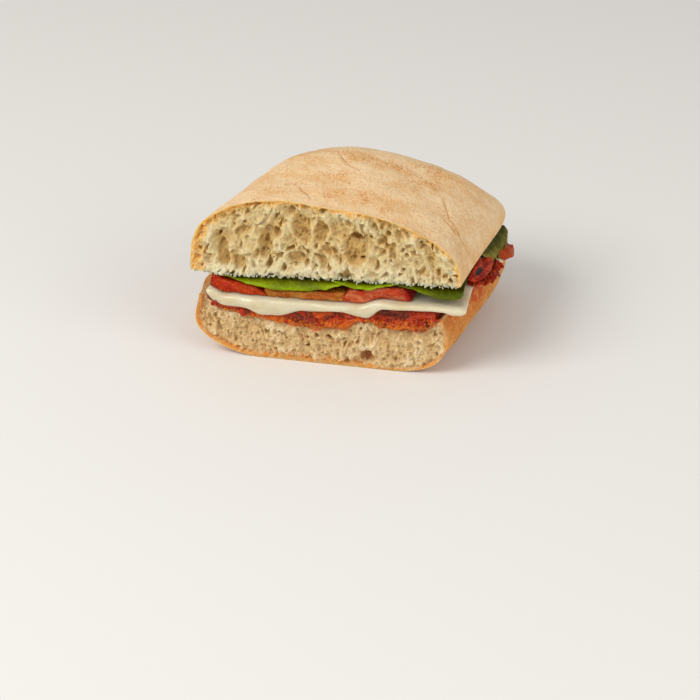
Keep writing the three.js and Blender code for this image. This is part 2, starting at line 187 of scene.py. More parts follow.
def unevenness(x, y, z, size):
    """Soft noise from -1 to 1: a random value on each corner of a lattice with cells of this size,
    eased from one corner to the next."""
    cells = np.stack(np.broadcast_arrays(x, y, z), -1) / size + LATTICE_SIDE * 8
    corner = np.floor(cells).astype(int)
    share = cells - corner
    share = share * share * (3 - 2 * share)
    total = 0
    for step in np.ndindex(2, 2, 2):
        weight = np.prod(np.where(step, share, 1 - share), axis=-1)
        i, j, k = np.moveaxis((corner + step) % LATTICE_SIDE, -1, 0)
        total = total + weight * LATTICE[i, j, k]
    return 2 * total - 1


def layered(x, z, *layers):
    """The sum of several layers of soft noise on the cut, each as (height, size, seed)."""
    return sum(height * unevenness(x, seed, z, size) for height, size, seed in layers)


def even_stops(x, y, values, count):
    """Values along a curve that split it into this many stretches of one length."""
    length = np.concatenate([[0], np.cumsum(np.hypot(np.diff(x), np.diff(y)))])
    return np.interp(np.linspace(0, length[-1], count + 1), length, values)


def half_loaf(loaf, u, along):
    """A place of a half loaf. u goes round the section from its left edge to its right one, and along
    from the cut to the far end. Across the section side is the signed power of -cos(pi u) and arch
    that of sin(pi u), a superellipse, and the plan is the superellipse 1 - along to the plan power."""
    y = loaf["depth"] * along
    cosine = np.cos(np.pi * u)
    square = np.where(cosine > 0, mix(*loaf["square_left"], along), mix(*loaf["square_right"], along))
    side = -signed_power(cosine, 2 / square)
    arch = np.maximum(0, np.sin(np.pi * u)) ** (2 / square)
    rest = np.maximum(0, 1 - along ** loaf["plan_power"])
    swelling = np.sin(np.pi * along)
    left = loaf["left"] + loaf["left_lean"] * y - loaf["swell"][0] * swelling
    right = loaf["right"] + loaf["right_lean"] * y + loaf["swell"][1] * swelling
    half_width = (right - left) / 2 * rest ** (1 / loaf["plan_power"])
    middle = (left + right) / 2
    x, middle, y, along = np.broadcast_arrays(middle + half_width * side, middle, y, along)
    return SimpleNamespace(
        x=x, middle=middle, y=y, along=along, side=side, arch=arch,
        fall=rest ** (1 / loaf["fall_power"]),
    )


def depth_stops(loaf, rows):
    """Shares of the depth that split the plan's outline evenly, from the cut round the far corner."""
    turn = np.linspace(0, np.pi / 2, 20001)
    along = np.sin(turn) ** (2 / loaf["plan_power"])
    half_width = (loaf["right"] - loaf["left"]) / 2 * np.cos(turn) ** (2 / loaf["plan_power"])
    return even_stops(half_width, loaf["depth"] * along, along, rows)[:, None]


def section_stops(loaf, columns):
    """Places round the section at the cut, spaced evenly but a little wider on its steep ends."""
    u = np.linspace(0, 1, 8001)
    p = half_loaf(loaf, u, np.zeros(1))
    return even_stops(p.x, 0.55 * loaf["height"] * p.arch, u, columns)[None, :]


def level_along(points, x):
    """Reads a level off a short list of (x, level) points, eased from each one to the next."""
    stops, levels = np.array(points, float).T
    i = np.clip(np.searchsorted(stops, x) - 1, 0, len(stops) - 2)
    return mix(levels[i], levels[i + 1], smooth(stops[i], stops[i + 1], x))


def rim_closeness(x, y):
    """How far a place of the lower bread is towards its rim: 0 in the middle and 1 on the rim."""
    along = np.minimum(1, y / BREAD_BASE["depth"])
    swelling = np.sin(np.pi * along)
    left = BREAD_BASE["left"] + BREAD_BASE["left_lean"] * y - BREAD_BASE["swell"][0] * swelling
    right = BREAD_BASE["right"] + BREAD_BASE["right_lean"] * y + BREAD_BASE["swell"][1] * swelling
    side = np.abs((2 * x - left - right) / (right - left))
    return np.minimum(1, (side ** 8 + np.abs(along) ** 8) ** (1 / 8))


def layer_level(front_points, inner_level, right_lift, x, y):
    """A layer's level: at the cut that of the list, further in one level that rises to the right."""
    inner = inner_level + right_lift * smooth(5, 40, x)
    return mix(inner, level_along(front_points, x), np.exp(-np.maximum(0, y) / FRONT_REACH))


def crumb_floor(x, y):
    """The sliced top of the lower bread, which rises to one level round its rim."""
    floor = layer_level(CRUMB_FLOOR, INNER_FLOOR, 0.3 * RIGHT_SIDE_LIFT, x, y)
    floor = floor + 0.25 * unevenness(x, y, 0, 7)
    return mix(floor, np.maximum(floor, RIM_LEVEL), smooth(0.78, 1, rim_closeness(x, y)))


def outward(points, middle):
    """Unit normals of a grid of points, turned away from the middle."""
    normal = np.cross(np.gradient(points, axis=1), np.gradient(points, axis=0))
    normal /= np.maximum(1e-9, np.linalg.norm(normal, axis=-1, keepdims=True))
    flip = np.sum(normal * (points - middle), axis=-1, keepdims=True) < 0
    return np.where(flip, -normal, normal)


def raised(points, normal, height):
    """Points moved along their normals, but only in the plane of the cut where they lie on it."""
    keep_cut = smooth(0, 1.5, points[..., 1:2])
    return points + height[..., None] * normal * np.concatenate(
        [np.ones_like(keep_cut), keep_cut, np.ones_like(keep_cut)], axis=-1
    )


def grid_faces(points, slot=0, **fields):
    """A grid of points as quads between its rows and columns. A field is one value or a grid of them."""
    rows, columns = points.shape[:2]
    spots = np.arange(rows * columns).reshape(rows, columns)
    quads = np.stack([spots[:-1, :-1], spots[:-1, 1:], spots[1:, 1:], spots[1:, :-1]], -1)
    values = {name: np.broadcast_to(field, (rows, columns)).ravel() for name, field in fields.items()}
    return SimpleNamespace(
        points=points.reshape(-1, 3), faces=quads.reshape(-1, 4), slot=slot, fields=values,
    )


def fan_faces(coarse, fine, slot=0, **fields):
    """Triangles between a row of points and one with a whole number of stretches to each of its own."""
    stretches = len(coarse) - 1
    times = (len(fine) - 1) // stretches
    first = np.arange(stretches)[:, None]
    fine_spots = len(coarse) + first * times + np.arange(times + 1)[None, :]
    corner = first + (np.arange(times) >= times / 2)[None, :]
    small = np.stack([corner, fine_spots[:, :-1], fine_spots[:, 1:]], -1).reshape(-1, 3)
    large = np.concatenate([first, fine_spots[:, times // 2][:, None], first + 1], axis=1)
    return SimpleNamespace(
        points=np.concatenate([coarse, fine]), faces=np.concatenate([small, large]),
        slot=slot, fields=fields,
    )


def new_piece(name, parts, materials, nodes=(), sharp_angle=None):
    """Puts parts, each a set of points in millimetres with quads or triangles, into one mesh, welds
    their shared edges, turns all faces outwards and makes the piece ride on the sandwich."""
    points = np.concatenate([part.points for part in parts]) * MM + np.array(CUT_MIDDLE)
    shifts = np.cumsum([0] + [len(part.points) for part in parts[:-1]])
    corners = np.concatenate([(part.faces + shift).ravel() for part, shift in zip(parts, shifts)])
    sizes = np.concatenate([np.full(len(part.faces), part.faces.shape[1]) for part in parts])
    mesh = bpy.data.meshes.new(name)
    mesh.vertices.add(len(points))
    mesh.vertices.foreach_set("co", points.ravel())
    mesh.loops.add(len(corners))
    mesh.loops.foreach_set("vertex_index", corners)
    mesh.polygons.add(len(sizes))
    mesh.polygons.foreach_set("loop_start", np.concatenate([[0], np.cumsum(sizes)[:-1]]))
    slots = np.concatenate([np.full(len(part.faces), part.slot) for part in parts])
    mesh.polygons.foreach_set("material_index", slots.astype(np.int32))
    for field in sorted(set().union(*[part.fields for part in parts])):
        values = [np.broadcast_to(part.fields.get(field, 0.0), len(part.points)) for part in parts]
        layer = mesh.attributes.new(field, "FLOAT", "POINT")
        layer.data.foreach_set("value", np.concatenate(values).astype(np.float32))
    mesh.update(calc_edges=True)
    welded = bmesh.new()
    welded.from_mesh(mesh)
    bmesh.ops.remove_doubles(welded, verts=welded.verts, dist=WELD * MM)
    bmesh.ops.recalc_face_normals(welded, faces=welded.faces)
    for face in welded.faces:
        face.smooth = True
    welded.to_mesh(mesh)
    welded.free()
    if sharp_angle is not None:
        mesh.set_sharp_from_angle(angle=math.radians(sharp_angle))
    for material in materials:
        mesh.materials.append(material)
    piece = bpy.data.objects.new(name, mesh)
    scene.collection.objects.link(piece)
    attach(piece, "root")
    if nodes:
        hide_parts(*nodes)
    return piece


DEEP_HOLE = 3
WIDE_HOLE = 2
BUBBLE_SHAPE = (0.85, 0.65, 1.3)
BUBBLE_TILT = 22


def hole_rows(named, rng, count, spread, radii, stretch, lean, inside=0):
    """Holes as rows of centre, three radii and tilt. First come the named ones, then small ones in the
    floors of those that are deep and wide, so many for the product of the two radii as inside says,
    then random ones in the space that spread gives: taller than wide, leaning as the list lean says,
    and small ones more often."""
    rows = [(x, 0.25 * deep, z, wide, 0.75 * deep, tall, tilt) for x, z, wide, tall, tilt, deep in named]
    for x, z, wide, tall, tilt, deep in named:
        roomy = deep > DEEP_HOLE and min(wide, tall) > WIDE_HOLE
        for _ in range(int(inside * wide * tall) if roomy else 0):
            turn = rng.uniform(0, 2 * math.pi)
            reach = 0.85 * rng.random() ** 0.5
            radius = rng.uniform(0.35, 1)
            rows.append((
                x + wide * reach * math.cos(turn), 0.85 * deep, z + tall * reach * math.sin(turn),
                radius, 1.3 + radius, 1.5 * radius, tilt + rng.normal(0, 35),
            ))
    low, high = np.array(spread, float).T
    places = rng.uniform(low, high, (count, 3))
    radius = mix(*radii, rng.random(count) ** 2.6)
    sizes = radius[:, None] * np.exp(rng.normal(0, stretch, (count, 3))) * BUBBLE_SHAPE
    tilts = level_along(lean, places[:, 0]) + rng.normal(0, BUBBLE_TILT, count)
    return rows + [(*place, *size, tilt) for place, size, tilt in zip(places, sizes, tilts)]


def pore_rows(points, rng, count, radii):
    """Small pores in the walls of the larger holes and in what stands between them, as hole rows
    whose centres lie on random places of the carved face, evenly by its area."""
    area = np.ptp(points[..., 2], axis=0) * np.abs(np.gradient(points[0, :, 0]))
    column = rng.choice(points.shape[1], count, p=area / area.sum())
    row = rng.integers(0, points.shape[0], count)
    radius = mix(*radii, rng.random(count) ** 2)
    sizes = radius[:, None] * np.exp(rng.normal(0, 0.25, (count, 3))) * [0.9, 0.6, 1.25]
    places = points[row, column] + np.stack([0 * radius, 0.1 * radius, 0 * radius], axis=-1)
    tilts = rng.uniform(-45, 45, count)
    return [(*place, *size, tilt) for place, size, tilt in zip(places, sizes, tilts)]


def walk_through(x, z, depth, holes, passes, roundness):
    """How deep each place of the cut lies: from the depth given, a straight line goes on through every
    hole that it is in. A hole's stretch of it is its centre plus and less its depth radius times a
    power of one less the squared distance from its axis. A root gives a ball, and a higher power a
    softer rim."""
    order = np.argsort(x, axis=None)
    across, up, depth = x.ravel()[order], z.ravel()[order], depth.ravel()[order]
    for cx, cy, cz, wide, deep, tall, tilt in holes * passes:
        reach = max(wide, tall)
        first, last = np.searchsorted(across, (cx - reach, cx + reach))
        dx, dz = across[first:last] - cx, up[first:last] - cz
        cosine, sine = math.cos(math.radians(tilt)), math.sin(math.radians(tilt))
        left = 1 - ((dx * cosine + dz * sine) / wide) ** 2 - ((dz * cosine - dx * sine) / tall) ** 2
        half = deep * np.maximum(0, left) ** roundness
        now = depth[first:last]
        inside = (left > 0) & (cy - half <= now) & (cy + half > now)
        depth[first:last] = np.where(inside, cy + half, now)
    result = np.empty(len(order))
    result[order] = depth
    return result.reshape(x.shape)


def softened(values, times):
    """A grid of values, each one averaged with its neighbours this many times."""
    for _ in range(times):
        wider = np.pad(values, 1, mode="edge")
        values = (wider[:-2, 1:-1] + wider[2:, 1:-1] + wider[1:-1, :-2] + wider[1:-1, 2:] + 2 * values) / 6
    return values


def cut_face(low_edge, high_edge, crust_edge, rows, rng, holes, pores, deepest, crust_band, lean):
    """The crumb of a cut: straight lines from the low edge to the high one, moved in by the holes, to
    the deepest times the hyperbolic tangent of their depth over it, then by the pores, and drawn into
    folds that lean as the list says. The fields are the depth of holes and folds, that of the pores
    and the distance to the crust, all in millimetres."""
    share = np.linspace(0, 1, rows + 1)[:, None, None]
    points = mix(low_edge[None], high_edge[None], share)
    x, z = points[..., 0].copy(), points[..., 2].copy()
    rind = np.array([
        np.hypot(row_x[:, None] - crust_edge[None, :, 0], row_z[:, None] - crust_edge[None, :, 2]).min(1)
        for row_x, row_z in zip(x, z)
    ])
    warp_x = layered(x, z, (0.6, 2.6, 0), (0.3, 0.9, 5))
    warp_z = layered(x, z, (0.6, 2.6, 10), (0.3, 0.9, 15))
    hollow = walk_through(x + warp_x, z + warp_z, 0 * x, holes, 3, 0.72)
    hollow = softened(hollow, 1) * smooth(*crust_band, rind)
    points[..., 1] = deepest * np.tanh(hollow / deepest)
    pores = pore_rows(points, rng, **pores)
    pitted = walk_through(x + 0.3 * warp_z, z + 0.3 * warp_x, points[..., 1], pores, 1, 0.6)
    pit = softened(pitted - points[..., 1], 1) * smooth(0.1, 0.6, rind)
    tilt = np.radians(level_along(lean, x))
    up = z - z.mean()
    across, up = x * np.cos(tilt) + up * np.sin(tilt), up * np.cos(tilt) - x * np.sin(tilt)
    fold = 0.5 * unevenness(across, 22, 0.4 * up, 1.6) + 0.25 * unevenness(across, 23, 0.35 * up, 0.8)
    fold = fold * (0.55 + 0.9 * unevenness(x, 24, z, 6))
    rough = layered(x, z, (0.14, 0.6, 20), (0.26, 1.6, 25))
    swell = layered(x, z, (0.8, 4.5, 27))
    points[..., 1] += pit + (fold + rough + swell) * smooth(0, 1.5, rind)
    points[..., 0] += 0.16 * unevenness(x, 30, z, 0.8) * smooth(0, 1.5, rind)
    # hollow carries the depth of holes, folds and swells, by which the crumb finish paints shade
    return points, dict(hollow=hollow + 1.3 * fold + 1.2 * rough + 1.7 * swell, pit=pit, rind=rind)


def srgb(red, green, blue):
    """A colour given as it looks on a screen, in 0 to 255, as the light values that a shader takes."""
    parts = np.array([red, green, blue]) / 255
    linear = np.where(parts > 0.04045, ((parts + 0.055) / 1.055) ** 2.4, parts / 12.92)
    return (*map(float, linear), 1.0)


def wire(tree, kind, sockets=None, **settings):
    """Adds a shader node with its settings, and links or fills its sockets."""
    made = tree.nodes.new(kind)
    for key, value in settings.items():
        setattr(made, key, value)
    for key, value in (sockets or {}).items():
        if isinstance(value, bpy.types.NodeSocket):
            tree.links.new(value, made.inputs[key])
        else:
            made.inputs[key].default_value = value
    return made


def sum_of(tree, operation, first, second, kind="ShaderNodeMath"):
    """The result of a sum on two values, or on two vectors with the node kind for those."""
    return wire(tree, kind, {0: first, 1: second}, operation=operation).outputs[0]


def product(tree, first, second):
    """One value times the other."""
    return sum_of(tree, "MULTIPLY", first, second)


def blended(tree, share, first, second):
    """The first colour where share is 0 and the second where it is 1."""
    made = wire(tree, "ShaderNodeMix", {0: share}, data_type="RGBA")
    for socket, value in ((made.inputs[6], first), (made.inputs[7], second)):
        if isinstance(value, bpy.types.NodeSocket):
            tree.links.new(value, socket)
        else:
            socket.default_value = value
    return made.outputs[2]


def field_of(tree, name):
    """A value that the mesh holds for each of its points."""
    return wire(tree, "ShaderNodeAttribute", attribute_name=name).outputs["Fac"]


def spread_value(tree, value, start, end, low=0.0, high=1.0):
    """A value brought from the range start to end to the range low to high, eased and not beyond it."""
    sockets = {"Value": value, "From Min": start, "From Max": end, "To Min": low, "To Max": high}
    return wire(tree, "ShaderNodeMapRange", sockets, interpolation_type="SMOOTHSTEP").outputs[0]


def new_effect(name, inputs, outputs):
    """An empty group of nodes with named inputs and outputs, each as (name, kind, value)."""
    group = bpy.data.node_groups.new(name, "ShaderNodeTree")
    for socket_name, kind, value in inputs:
        socket = group.interface.new_socket(socket_name, in_out="INPUT", socket_type=kind)
        if value is not None:
            socket.default_value = value
    for socket_name, kind, _ in outputs:
        group.interface.new_socket(socket_name, in_out="OUTPUT", socket_type=kind)
    return group, group.nodes.new("NodeGroupInput").outputs, group.nodes.new("NodeGroupOutput").inputs


# Patches of noise with edges as soft as asked, at a size in metres. Every finish uses it.
mottle, given, result = new_effect(
    "mottle",
    [("Size", "NodeSocketFloat", 0.002), ("Detail", "NodeSocketFloat", 3.0), ("Low", "NodeSocketFloat", 0.4),
     ("High", "NodeSocketFloat", 0.6), ("Stretch", "NodeSocketVector", (1, 1, 1)),
     ("Shift", "NodeSocketVector", (0, 0, 0))],
    [("Mask", "NodeSocketFloat", None)],
)
place = wire(mottle, "ShaderNodeTexCoord").outputs["Object"]
place = sum_of(mottle, "MULTIPLY", place, given["Stretch"], "ShaderNodeVectorMath")
place = sum_of(mottle, "ADD", place, given["Shift"], "ShaderNodeVectorMath")
fine = sum_of(mottle, "DIVIDE", 1.0, given["Size"])
cloud = wire(mottle, "ShaderNodeTexNoise", {"Vector": place, "Scale": fine, "Detail": given["Detail"]})
mottle.links.new(spread_value(mottle, cloud.outputs[0], given["Low"], given["High"]), result["Mask"])

# Small round cells, for the finest pores of both crumbs: 1 in the middle of a cell, 0 between them.
cells, given, result = new_effect(
    "cells",
    [("Size", "NodeSocketFloat", 0.001), ("Radius", "NodeSocketFloat", 0.35),
     ("Stretch", "NodeSocketVector", (1, 1, 1))],
    [("Mask", "NodeSocketFloat", None)],
)
place = wire(cells, "ShaderNodeTexCoord").outputs["Object"]
place = sum_of(cells, "MULTIPLY", place, given["Stretch"], "ShaderNodeVectorMath")
fine = sum_of(cells, "DIVIDE", 1.0, given["Size"])
points = wire(cells, "ShaderNodeTexVoronoi", {"Vector": place, "Scale": fine, "Randomness": 1.0})
near = sum_of(cells, "DIVIDE", points.outputs["Distance"], given["Radius"])
cells.links.new(spread_value(cells, near, 0.45, 1.0, 1.0, 0.0), result["Mask"])


def effect(tree, group, **values):
    """Places an effect in a finish with its own values, and gives its mask."""
    made = wire(tree, "ShaderNodeGroup", node_tree=group)
    for key, value in values.items():
        made.inputs[key.replace("_", " ").title()].default_value = value
    return made.outputs["Mask"]


def new_finish(name, **sockets):
    """A material with a Principled shader whose plain values are set on its own sockets."""
    material = bpy.data.materials.new(name)
    material.use_nodes = True
    tree = material.node_tree
    shader = tree.nodes["Principled BSDF"]
    for key, value in sockets.items():
        shader.inputs[key.replace("_", " ")].default_value = value
    return material, tree, shader.inputs


def dent(tree, height, strength, distance, normal=None):
    """The normal that a height, in shares of the distance in metres, gives to a surface."""
    sockets = {"Height": height, "Strength": strength, "Distance": distance}
    if normal is not None:
        sockets["Normal"] = normal
    return wire(tree, "ShaderNodeBump", sockets).outputs[0]


def crumb_finish(name, light, shade, hollow, deep, toast, pale, dark_from, dark_to):
    """Open crumb: a web of fine pores, cream with painted light on its raised ridges, and painted shade
    ochre in its hollows and pores and brown far in. Close to the crust it is toasted, in patches, and
    where it was torn open it is paler."""
    material, tree, inputs = new_finish(
        name, Roughness=0.6, Specular_IOR_Level=0.15,
        Subsurface_Weight=0.75, Subsurface_Scale=0.0028, Subsurface_Radius=(1.0, 0.72, 0.4),
    )
    depth = field_of(tree, "hollow")
    patch = effect(tree, mottle, size=0.004, detail=4.0, stretch=(1.25, 1, 0.8), low=0.36, high=0.64)
    grain = effect(tree, mottle, size=0.0008, detail=4.0, low=0.34, high=0.66)
    tiny = effect(tree, cells, size=0.00085, radius=0.65, stretch=(1.15, 1, 0.9))
    colour = blended(tree, product(tree, patch, 0.6), light, shade)
    colour = blended(tree, product(tree, grain, 0.3), colour, shade)
    # painted shade: the finest pores take the hollow colour
    colour = blended(tree, product(tree, tiny, 0.2), colour, hollow)
    colour = blended(tree, product(tree, field_of(tree, "pale"), 0.55), colour, pale)
    # painted light: places raised out of the cut, where the depth is below 0, are paler
    colour = blended(tree, spread_value(tree, depth, 0.1, -1.1, 0, 0.6), colour, pale)
    # painted shade: pores and hollows take the hollow colour by their depth, and brown deep in
    colour = blended(tree, spread_value(tree, field_of(tree, "pit"), 0.12, 0.7, 0, 0.4), colour, hollow)
    colour = blended(tree, spread_value(tree, depth, 0.3, 3.4, 0, 0.95), colour, hollow)
    inner = sum_of(tree, "ADD", depth, product(tree, field_of(tree, "pit"), 2.2))
    colour = blended(tree, spread_value(tree, inner, dark_from, dark_to, 0, 0.9), colour, deep)
    baked = effect(tree, mottle, size=0.0022, detail=4.0, low=0.25, high=0.7)
    patchy = sum_of(tree, "ADD", product(tree, baked, 0.6), 0.4)
    colour = blended(tree, product(tree, field_of(tree, "toasted"), patchy), colour, toast)
    colour = blended(tree, field_of(tree, "oil"), colour, srgb(200, 92, 14))
    tree.links.new(colour, inputs["Base Color"])
    normal = dent(tree, tiny, -0.45, 0.00025)
    tree.links.new(dent(tree, grain, 0.45, 0.0002, normal), inputs["Normal"])
    return material


def crust_finish(name, flour, crust, tan, freckle, dusting, freckling, rim):
    """Baked crust under flour: pale where the flour lies, tan where it is thin, with freckles in
    clusters, fine wrinkles and a thin brown line in each crack. rim colours what lies low, crumb
    shows where the rim is torn, and oil smears what the filling ran over."""
    material, tree, inputs = new_finish(
        name, Specular_IOR_Level=0.14,
        Subsurface_Weight=0.2, Subsurface_Scale=0.001, Subsurface_Radius=(1.0, 0.5, 0.25),
    )
    drift = effect(tree, mottle, size=0.013, detail=6.0, stretch=(0.8, 1.1, 1), low=0.38, high=0.6)
    cloud = effect(tree, mottle, size=0.0044, detail=5.0, stretch=(1.1, 0.8, 1.0), low=0.34, high=0.7)
    dust = effect(tree, mottle, size=0.0008, detail=4.0, low=0.38, high=0.64)
    colour = blended(tree, product(tree, drift, dusting), crust, flour)
    colour = blended(tree, product(tree, cloud, 0.5), colour, flour)
    brown = product(tree, field_of(tree, "bake"), effect(
        tree, mottle, size=0.0048, detail=6.0, stretch=(0.9, 0.9, 1), shift=(0.05, 0.02, 0),
        low=0.4, high=0.56,
    ))
    colour = blended(tree, product(tree, brown, 0.45), colour, tan)
    colour = blended(tree, product(tree, dust, 0.45), colour, flour)
    speck = effect(
        tree, mottle, size=0.0009, detail=3.0, stretch=(1.1, 0.7, 1), shift=(0.2, 0, 0), low=0.5, high=0.58,
    )
    some = sum_of(tree, "ADD", product(tree, brown, 0.85), 0.13)
    freckled = product(tree, product(tree, speck, some), freckling)
    colour = blended(tree, freckled, colour, freckle)
    colour = blended(tree, field_of(tree, "side"), colour, rim)
    ragged = effect(tree, mottle, size=0.0016, detail=4.0, low=0.3, high=0.5)
    colour = blended(tree, product(tree, field_of(tree, "torn"), ragged), colour, srgb(226, 196, 146))
    off_line = sum_of(tree, "ABSOLUTE", field_of(tree, "off_crack"), 0.0)
    wander = product(tree, effect(tree, mottle, size=0.0012, detail=3.0, low=0.3, high=0.7), 0.35)
    line = spread_value(tree, sum_of(tree, "ADD", off_line, wander), 0.22, 0.55, 1, 0)
    line = product(tree, line, field_of(tree, "cracked"))
    colour = blended(tree, product(tree, line, 0.8), colour, freckle)
    smear = product(tree, field_of(tree, "smear"), effect(
        tree, mottle, size=0.0022, detail=6.0, stretch=(1, 0.8, 1.1), shift=(0.4, 0.1, 0),
        low=0.4, high=0.52,
    ))
    colour = blended(tree, smear, colour, srgb(198, 74, 4))
    tree.links.new(colour, inputs["Base Color"])
    gloss = blended(tree, smear, (0.75, 0.75, 0.75, 1), (0.4, 0.4, 0.4, 1))
    tree.links.new(gloss, inputs["Roughness"])
    wrinkle = effect(tree, mottle, size=0.0018, detail=6.0, stretch=(1.1, 0.75, 1.0), low=0.3, high=0.7)
    grain = effect(tree, mottle, size=0.0005, detail=3.0, low=0.3, high=0.7)
    normal = dent(tree, wrinkle, 0.6, 0.0003)
    normal = dent(tree, grain, 0.7, 0.00016, normal)
    normal = dent(tree, line, -0.8, 0.0005, normal)
    tree.links.new(normal, inputs["Normal"])
    return material


# hollow and deep are painted shade: the colours that holes and pores are given by their depth
crumb = crumb_finish(
    "crumb", light=srgb(214, 200, 156), shade=srgb(202, 176, 124), hollow=srgb(202, 168, 106),
    deep=srgb(150, 98, 34), toast=srgb(226, 174, 88), pale=srgb(220, 212, 180), dark_from=5.6, dark_to=8.5,
)
base_crumb = crumb_finish(
    "base_crumb", light=srgb(216, 192, 146), shade=srgb(202, 170, 118), hollow=srgb(194, 150, 96),
    deep=srgb(158, 98, 54), toast=srgb(212, 142, 64), pale=srgb(230, 214, 180), dark_from=2.8, dark_to=4.6,
)
base_crust = crust_finish(
    "base_crust", flour=srgb(224, 166, 96), crust=srgb(212, 134, 52), tan=srgb(192, 102, 24),
    freckle=srgb(160, 76, 14), dusting=0.4, freckling=0.5, rim=srgb(214, 142, 62),
)

# The largest holes, each as x, z, half width, half height, tilt in degrees and depth.
BASE_HOLES = [
    (15.7, 4.7, 3.1, 3.2, 0, 4.1), (1.2, 11.2, 1.8, 1.3, 0, 3.2), (-7.9, 6.9, 1.2, 1.1, 0, 3.4),
    (-23, 10.8, 1.2, 1.9, 20, 3.4), (-4, 12.3, 1, 1.8, 35, 3.4), (7.1, 9.4, 0.7, 1.6, -30, 3),
    (26.9, 15.4, 1, 1.9, 0, 1.8), (31.9, 14.9, 2.1, 2.9, 0, 2), (35.9, 13.1, 1.2, 1.5, 0, 1.9),
    (39.2, 11.5, 1.4, 1.6, 0, 1.3), (36, 10, 0.8, 0.7, 0, 1.4), (25.7, 7.2, 1, 1.8, 0, 1.7),
    (28.3, 7.7, 0.9, 1.2, 0, 1.6), (21.7, 4.3, 0.8, 1.2, 0, 1.6), (23.4, 4.9, 0.6, 0.9, 0, 1.4),
    (28.1, 10.9, 0.7, 1, 0, 1.4), (4.7, 4, 0.9, 1.1, 0, 1.8), (-20.7, 3.7, 0.7, 0.9, 0, 2.4),
    (-42.1, 10.4, 1.1, 2, 35, 2.2), (-45.9, 11, 0.9, 0.8, 0, 1.4), (-43.8, 16.6, 1, 1.4, 0, 1.8),
    (-41.7, 14.6, 0.9, 1.6, -20, 1.5), (-18.3, 6.2, 2, 1.4, 0, 2), (-25, 4.8, 0.8, 0.6, 0, 1.4),
    (-31.5, 11.2, 0.8, 2, 20, 1.4), (-1.6, 4.4, 0.6, 0.5, 0, 1.6), (-11.5, 13.1, 0.5, 1, 0, 2),
]
BASE_BUBBLES = dict(
    count=1500, spread=[(-54, 49), (-0.6, 1.4), (-1, 26)], radii=(0.3, 1.1), stretch=0.18,
    lean=[(-54, -10), (0, 8), (50, -6)],
)
BASE_BOWLS = dict(
    count=1900, spread=[(-54, 49), (-0.35, 0.35), (-1, 26)], radii=(0.42, 1.7), stretch=0.18,
    lean=BASE_BUBBLES["lean"],
)
BASE_PORES = dict(count=9000, radii=(0.25, 0.6))
BASE_DEEPEST = 3.6
BASE_CRUST_BAND = (0.5, 1.5)
BASE_TOAST = [(-52, 2.4), (-46, 1.8), (-30, 2.8), (12, 2.8), (22, 1.3), (47, 1.3)]
SOAK = [
    (-47, 0.5), (-30, 0.7), (-12, 1.1), (-4, 2.1), (8, 1.9), (13, 0.4), (20, 1.4), (30, 1.9), (42, 2.1),
    (46, 0.9),
]
# What a place of crust without a crack is given as its distance to one.
NO_CRACK = 9.0

base_u = section_stops(BREAD_BASE, FACE_COLUMNS)
base_along = depth_stops(BREAD_BASE, ROWS)


def tuck_at(p):
    """How far the rim is tucked in, as a share of the half width: on the left only near the cut."""
    return BASE_TUCK * np.where(p.side < 0, smooth(LEFT_TUCK_DEPTH, 0, p.y), 1)


def base_crust_points(u, along):
    """The baked outside: the rim's level less the arch, flattened where it would go below the table,
    and tucked in a little towards the rim. Slow bulges stand on it."""
    p = half_loaf(BREAD_BASE, u, along)
    level = BREAD_BASE["height"] * (1 - FLAT_BOTTOM * p.arch * p.fall)
    tuck = 1 - tuck_at(p) * (1 - smooth(0, 0.5, p.arch))
    points = np.stack([p.middle + (p.x - p.middle) * tuck, p.y, np.maximum(0, level)], axis=-1)
    free = smooth(0, 3, level) * smooth(0, 0.3, p.arch * p.fall)
    x, y, z = np.moveaxis(points, -1, 0)
    bulge = 0.45 * unevenness(x, y, z, 13) + 0.16 * unevenness(x, y, z, 4)
    return raised(points, outward(points, np.array([0, 43, 20])), bulge * free)


def base_crumb_points(u, along):
    """The sliced top, a little ragged where it meets the cut."""
    p = half_loaf(BREAD_BASE, u, along)
    x = p.middle + (p.x - p.middle) * (1 - tuck_at(p))
    level = mix(BREAD_BASE["height"], crumb_floor(x, p.y), np.minimum(1, 6 * p.arch * p.fall))
    rough = 0.3 * unevenness(x, p.y, 3, 1.3) * np.minimum(1, 4 * p.arch * p.fall)
    return np.stack([x, p.y, level + rough], axis=-1)


crust_points = base_crust_points(base_u[:, ::CRUST_SHARE], base_along)
crust_edge = base_crust_points(base_u, base_along[:2])
crumb_points = base_crumb_points(base_u[:, ::CRUMB_SHARE], base_along)
crumb_edge = base_crumb_points(base_u, base_along[:2])
rng = np.random.default_rng(21)
holes = hole_rows(BASE_HOLES, rng, **BASE_BUBBLES) + hole_rows([], rng, **BASE_BOWLS)
face_points, fields = cut_face(
    crust_edge[0], crumb_edge[0], crust_edge[0], BASE_FACE_ROWS, rng, holes, BASE_PORES,
    deepest=BASE_DEEPEST, crust_band=BASE_CRUST_BAND, lean=BASE_BUBBLES["lean"],
)
face_x, face_z = face_points[..., 0], face_points[..., 2]
ragged = 1 + layered(face_x, face_z, (0.5, 1.3, 50), (0.3, 0.6, 55))
toasted = smooth(1.2, 0.4, fields["rind"] / level_along(BASE_TOAST, face_x) / ragged)
below_top = crumb_edge[0][None, :, 2] - face_z
soak_reach = level_along(SOAK, face_x) * (1 + layered(face_x, face_z, (0.5, 2.6, 40), (0.35, 0.8, 45)))
oil = smooth(1.2, 0.4, below_top / np.maximum(0.2, soak_reach)) * 0.85
crust_x, crust_y, crust_z = np.moveaxis(crust_points, -1, 0)
side_smear = smooth(38, 46, crust_x) * smooth(14, 21, crust_z + 3 * unevenness(crust_x, crust_y, crust_z, 4))
side_smear = side_smear * smooth(1, 6, crust_y) * smooth(44, 36, crust_y)
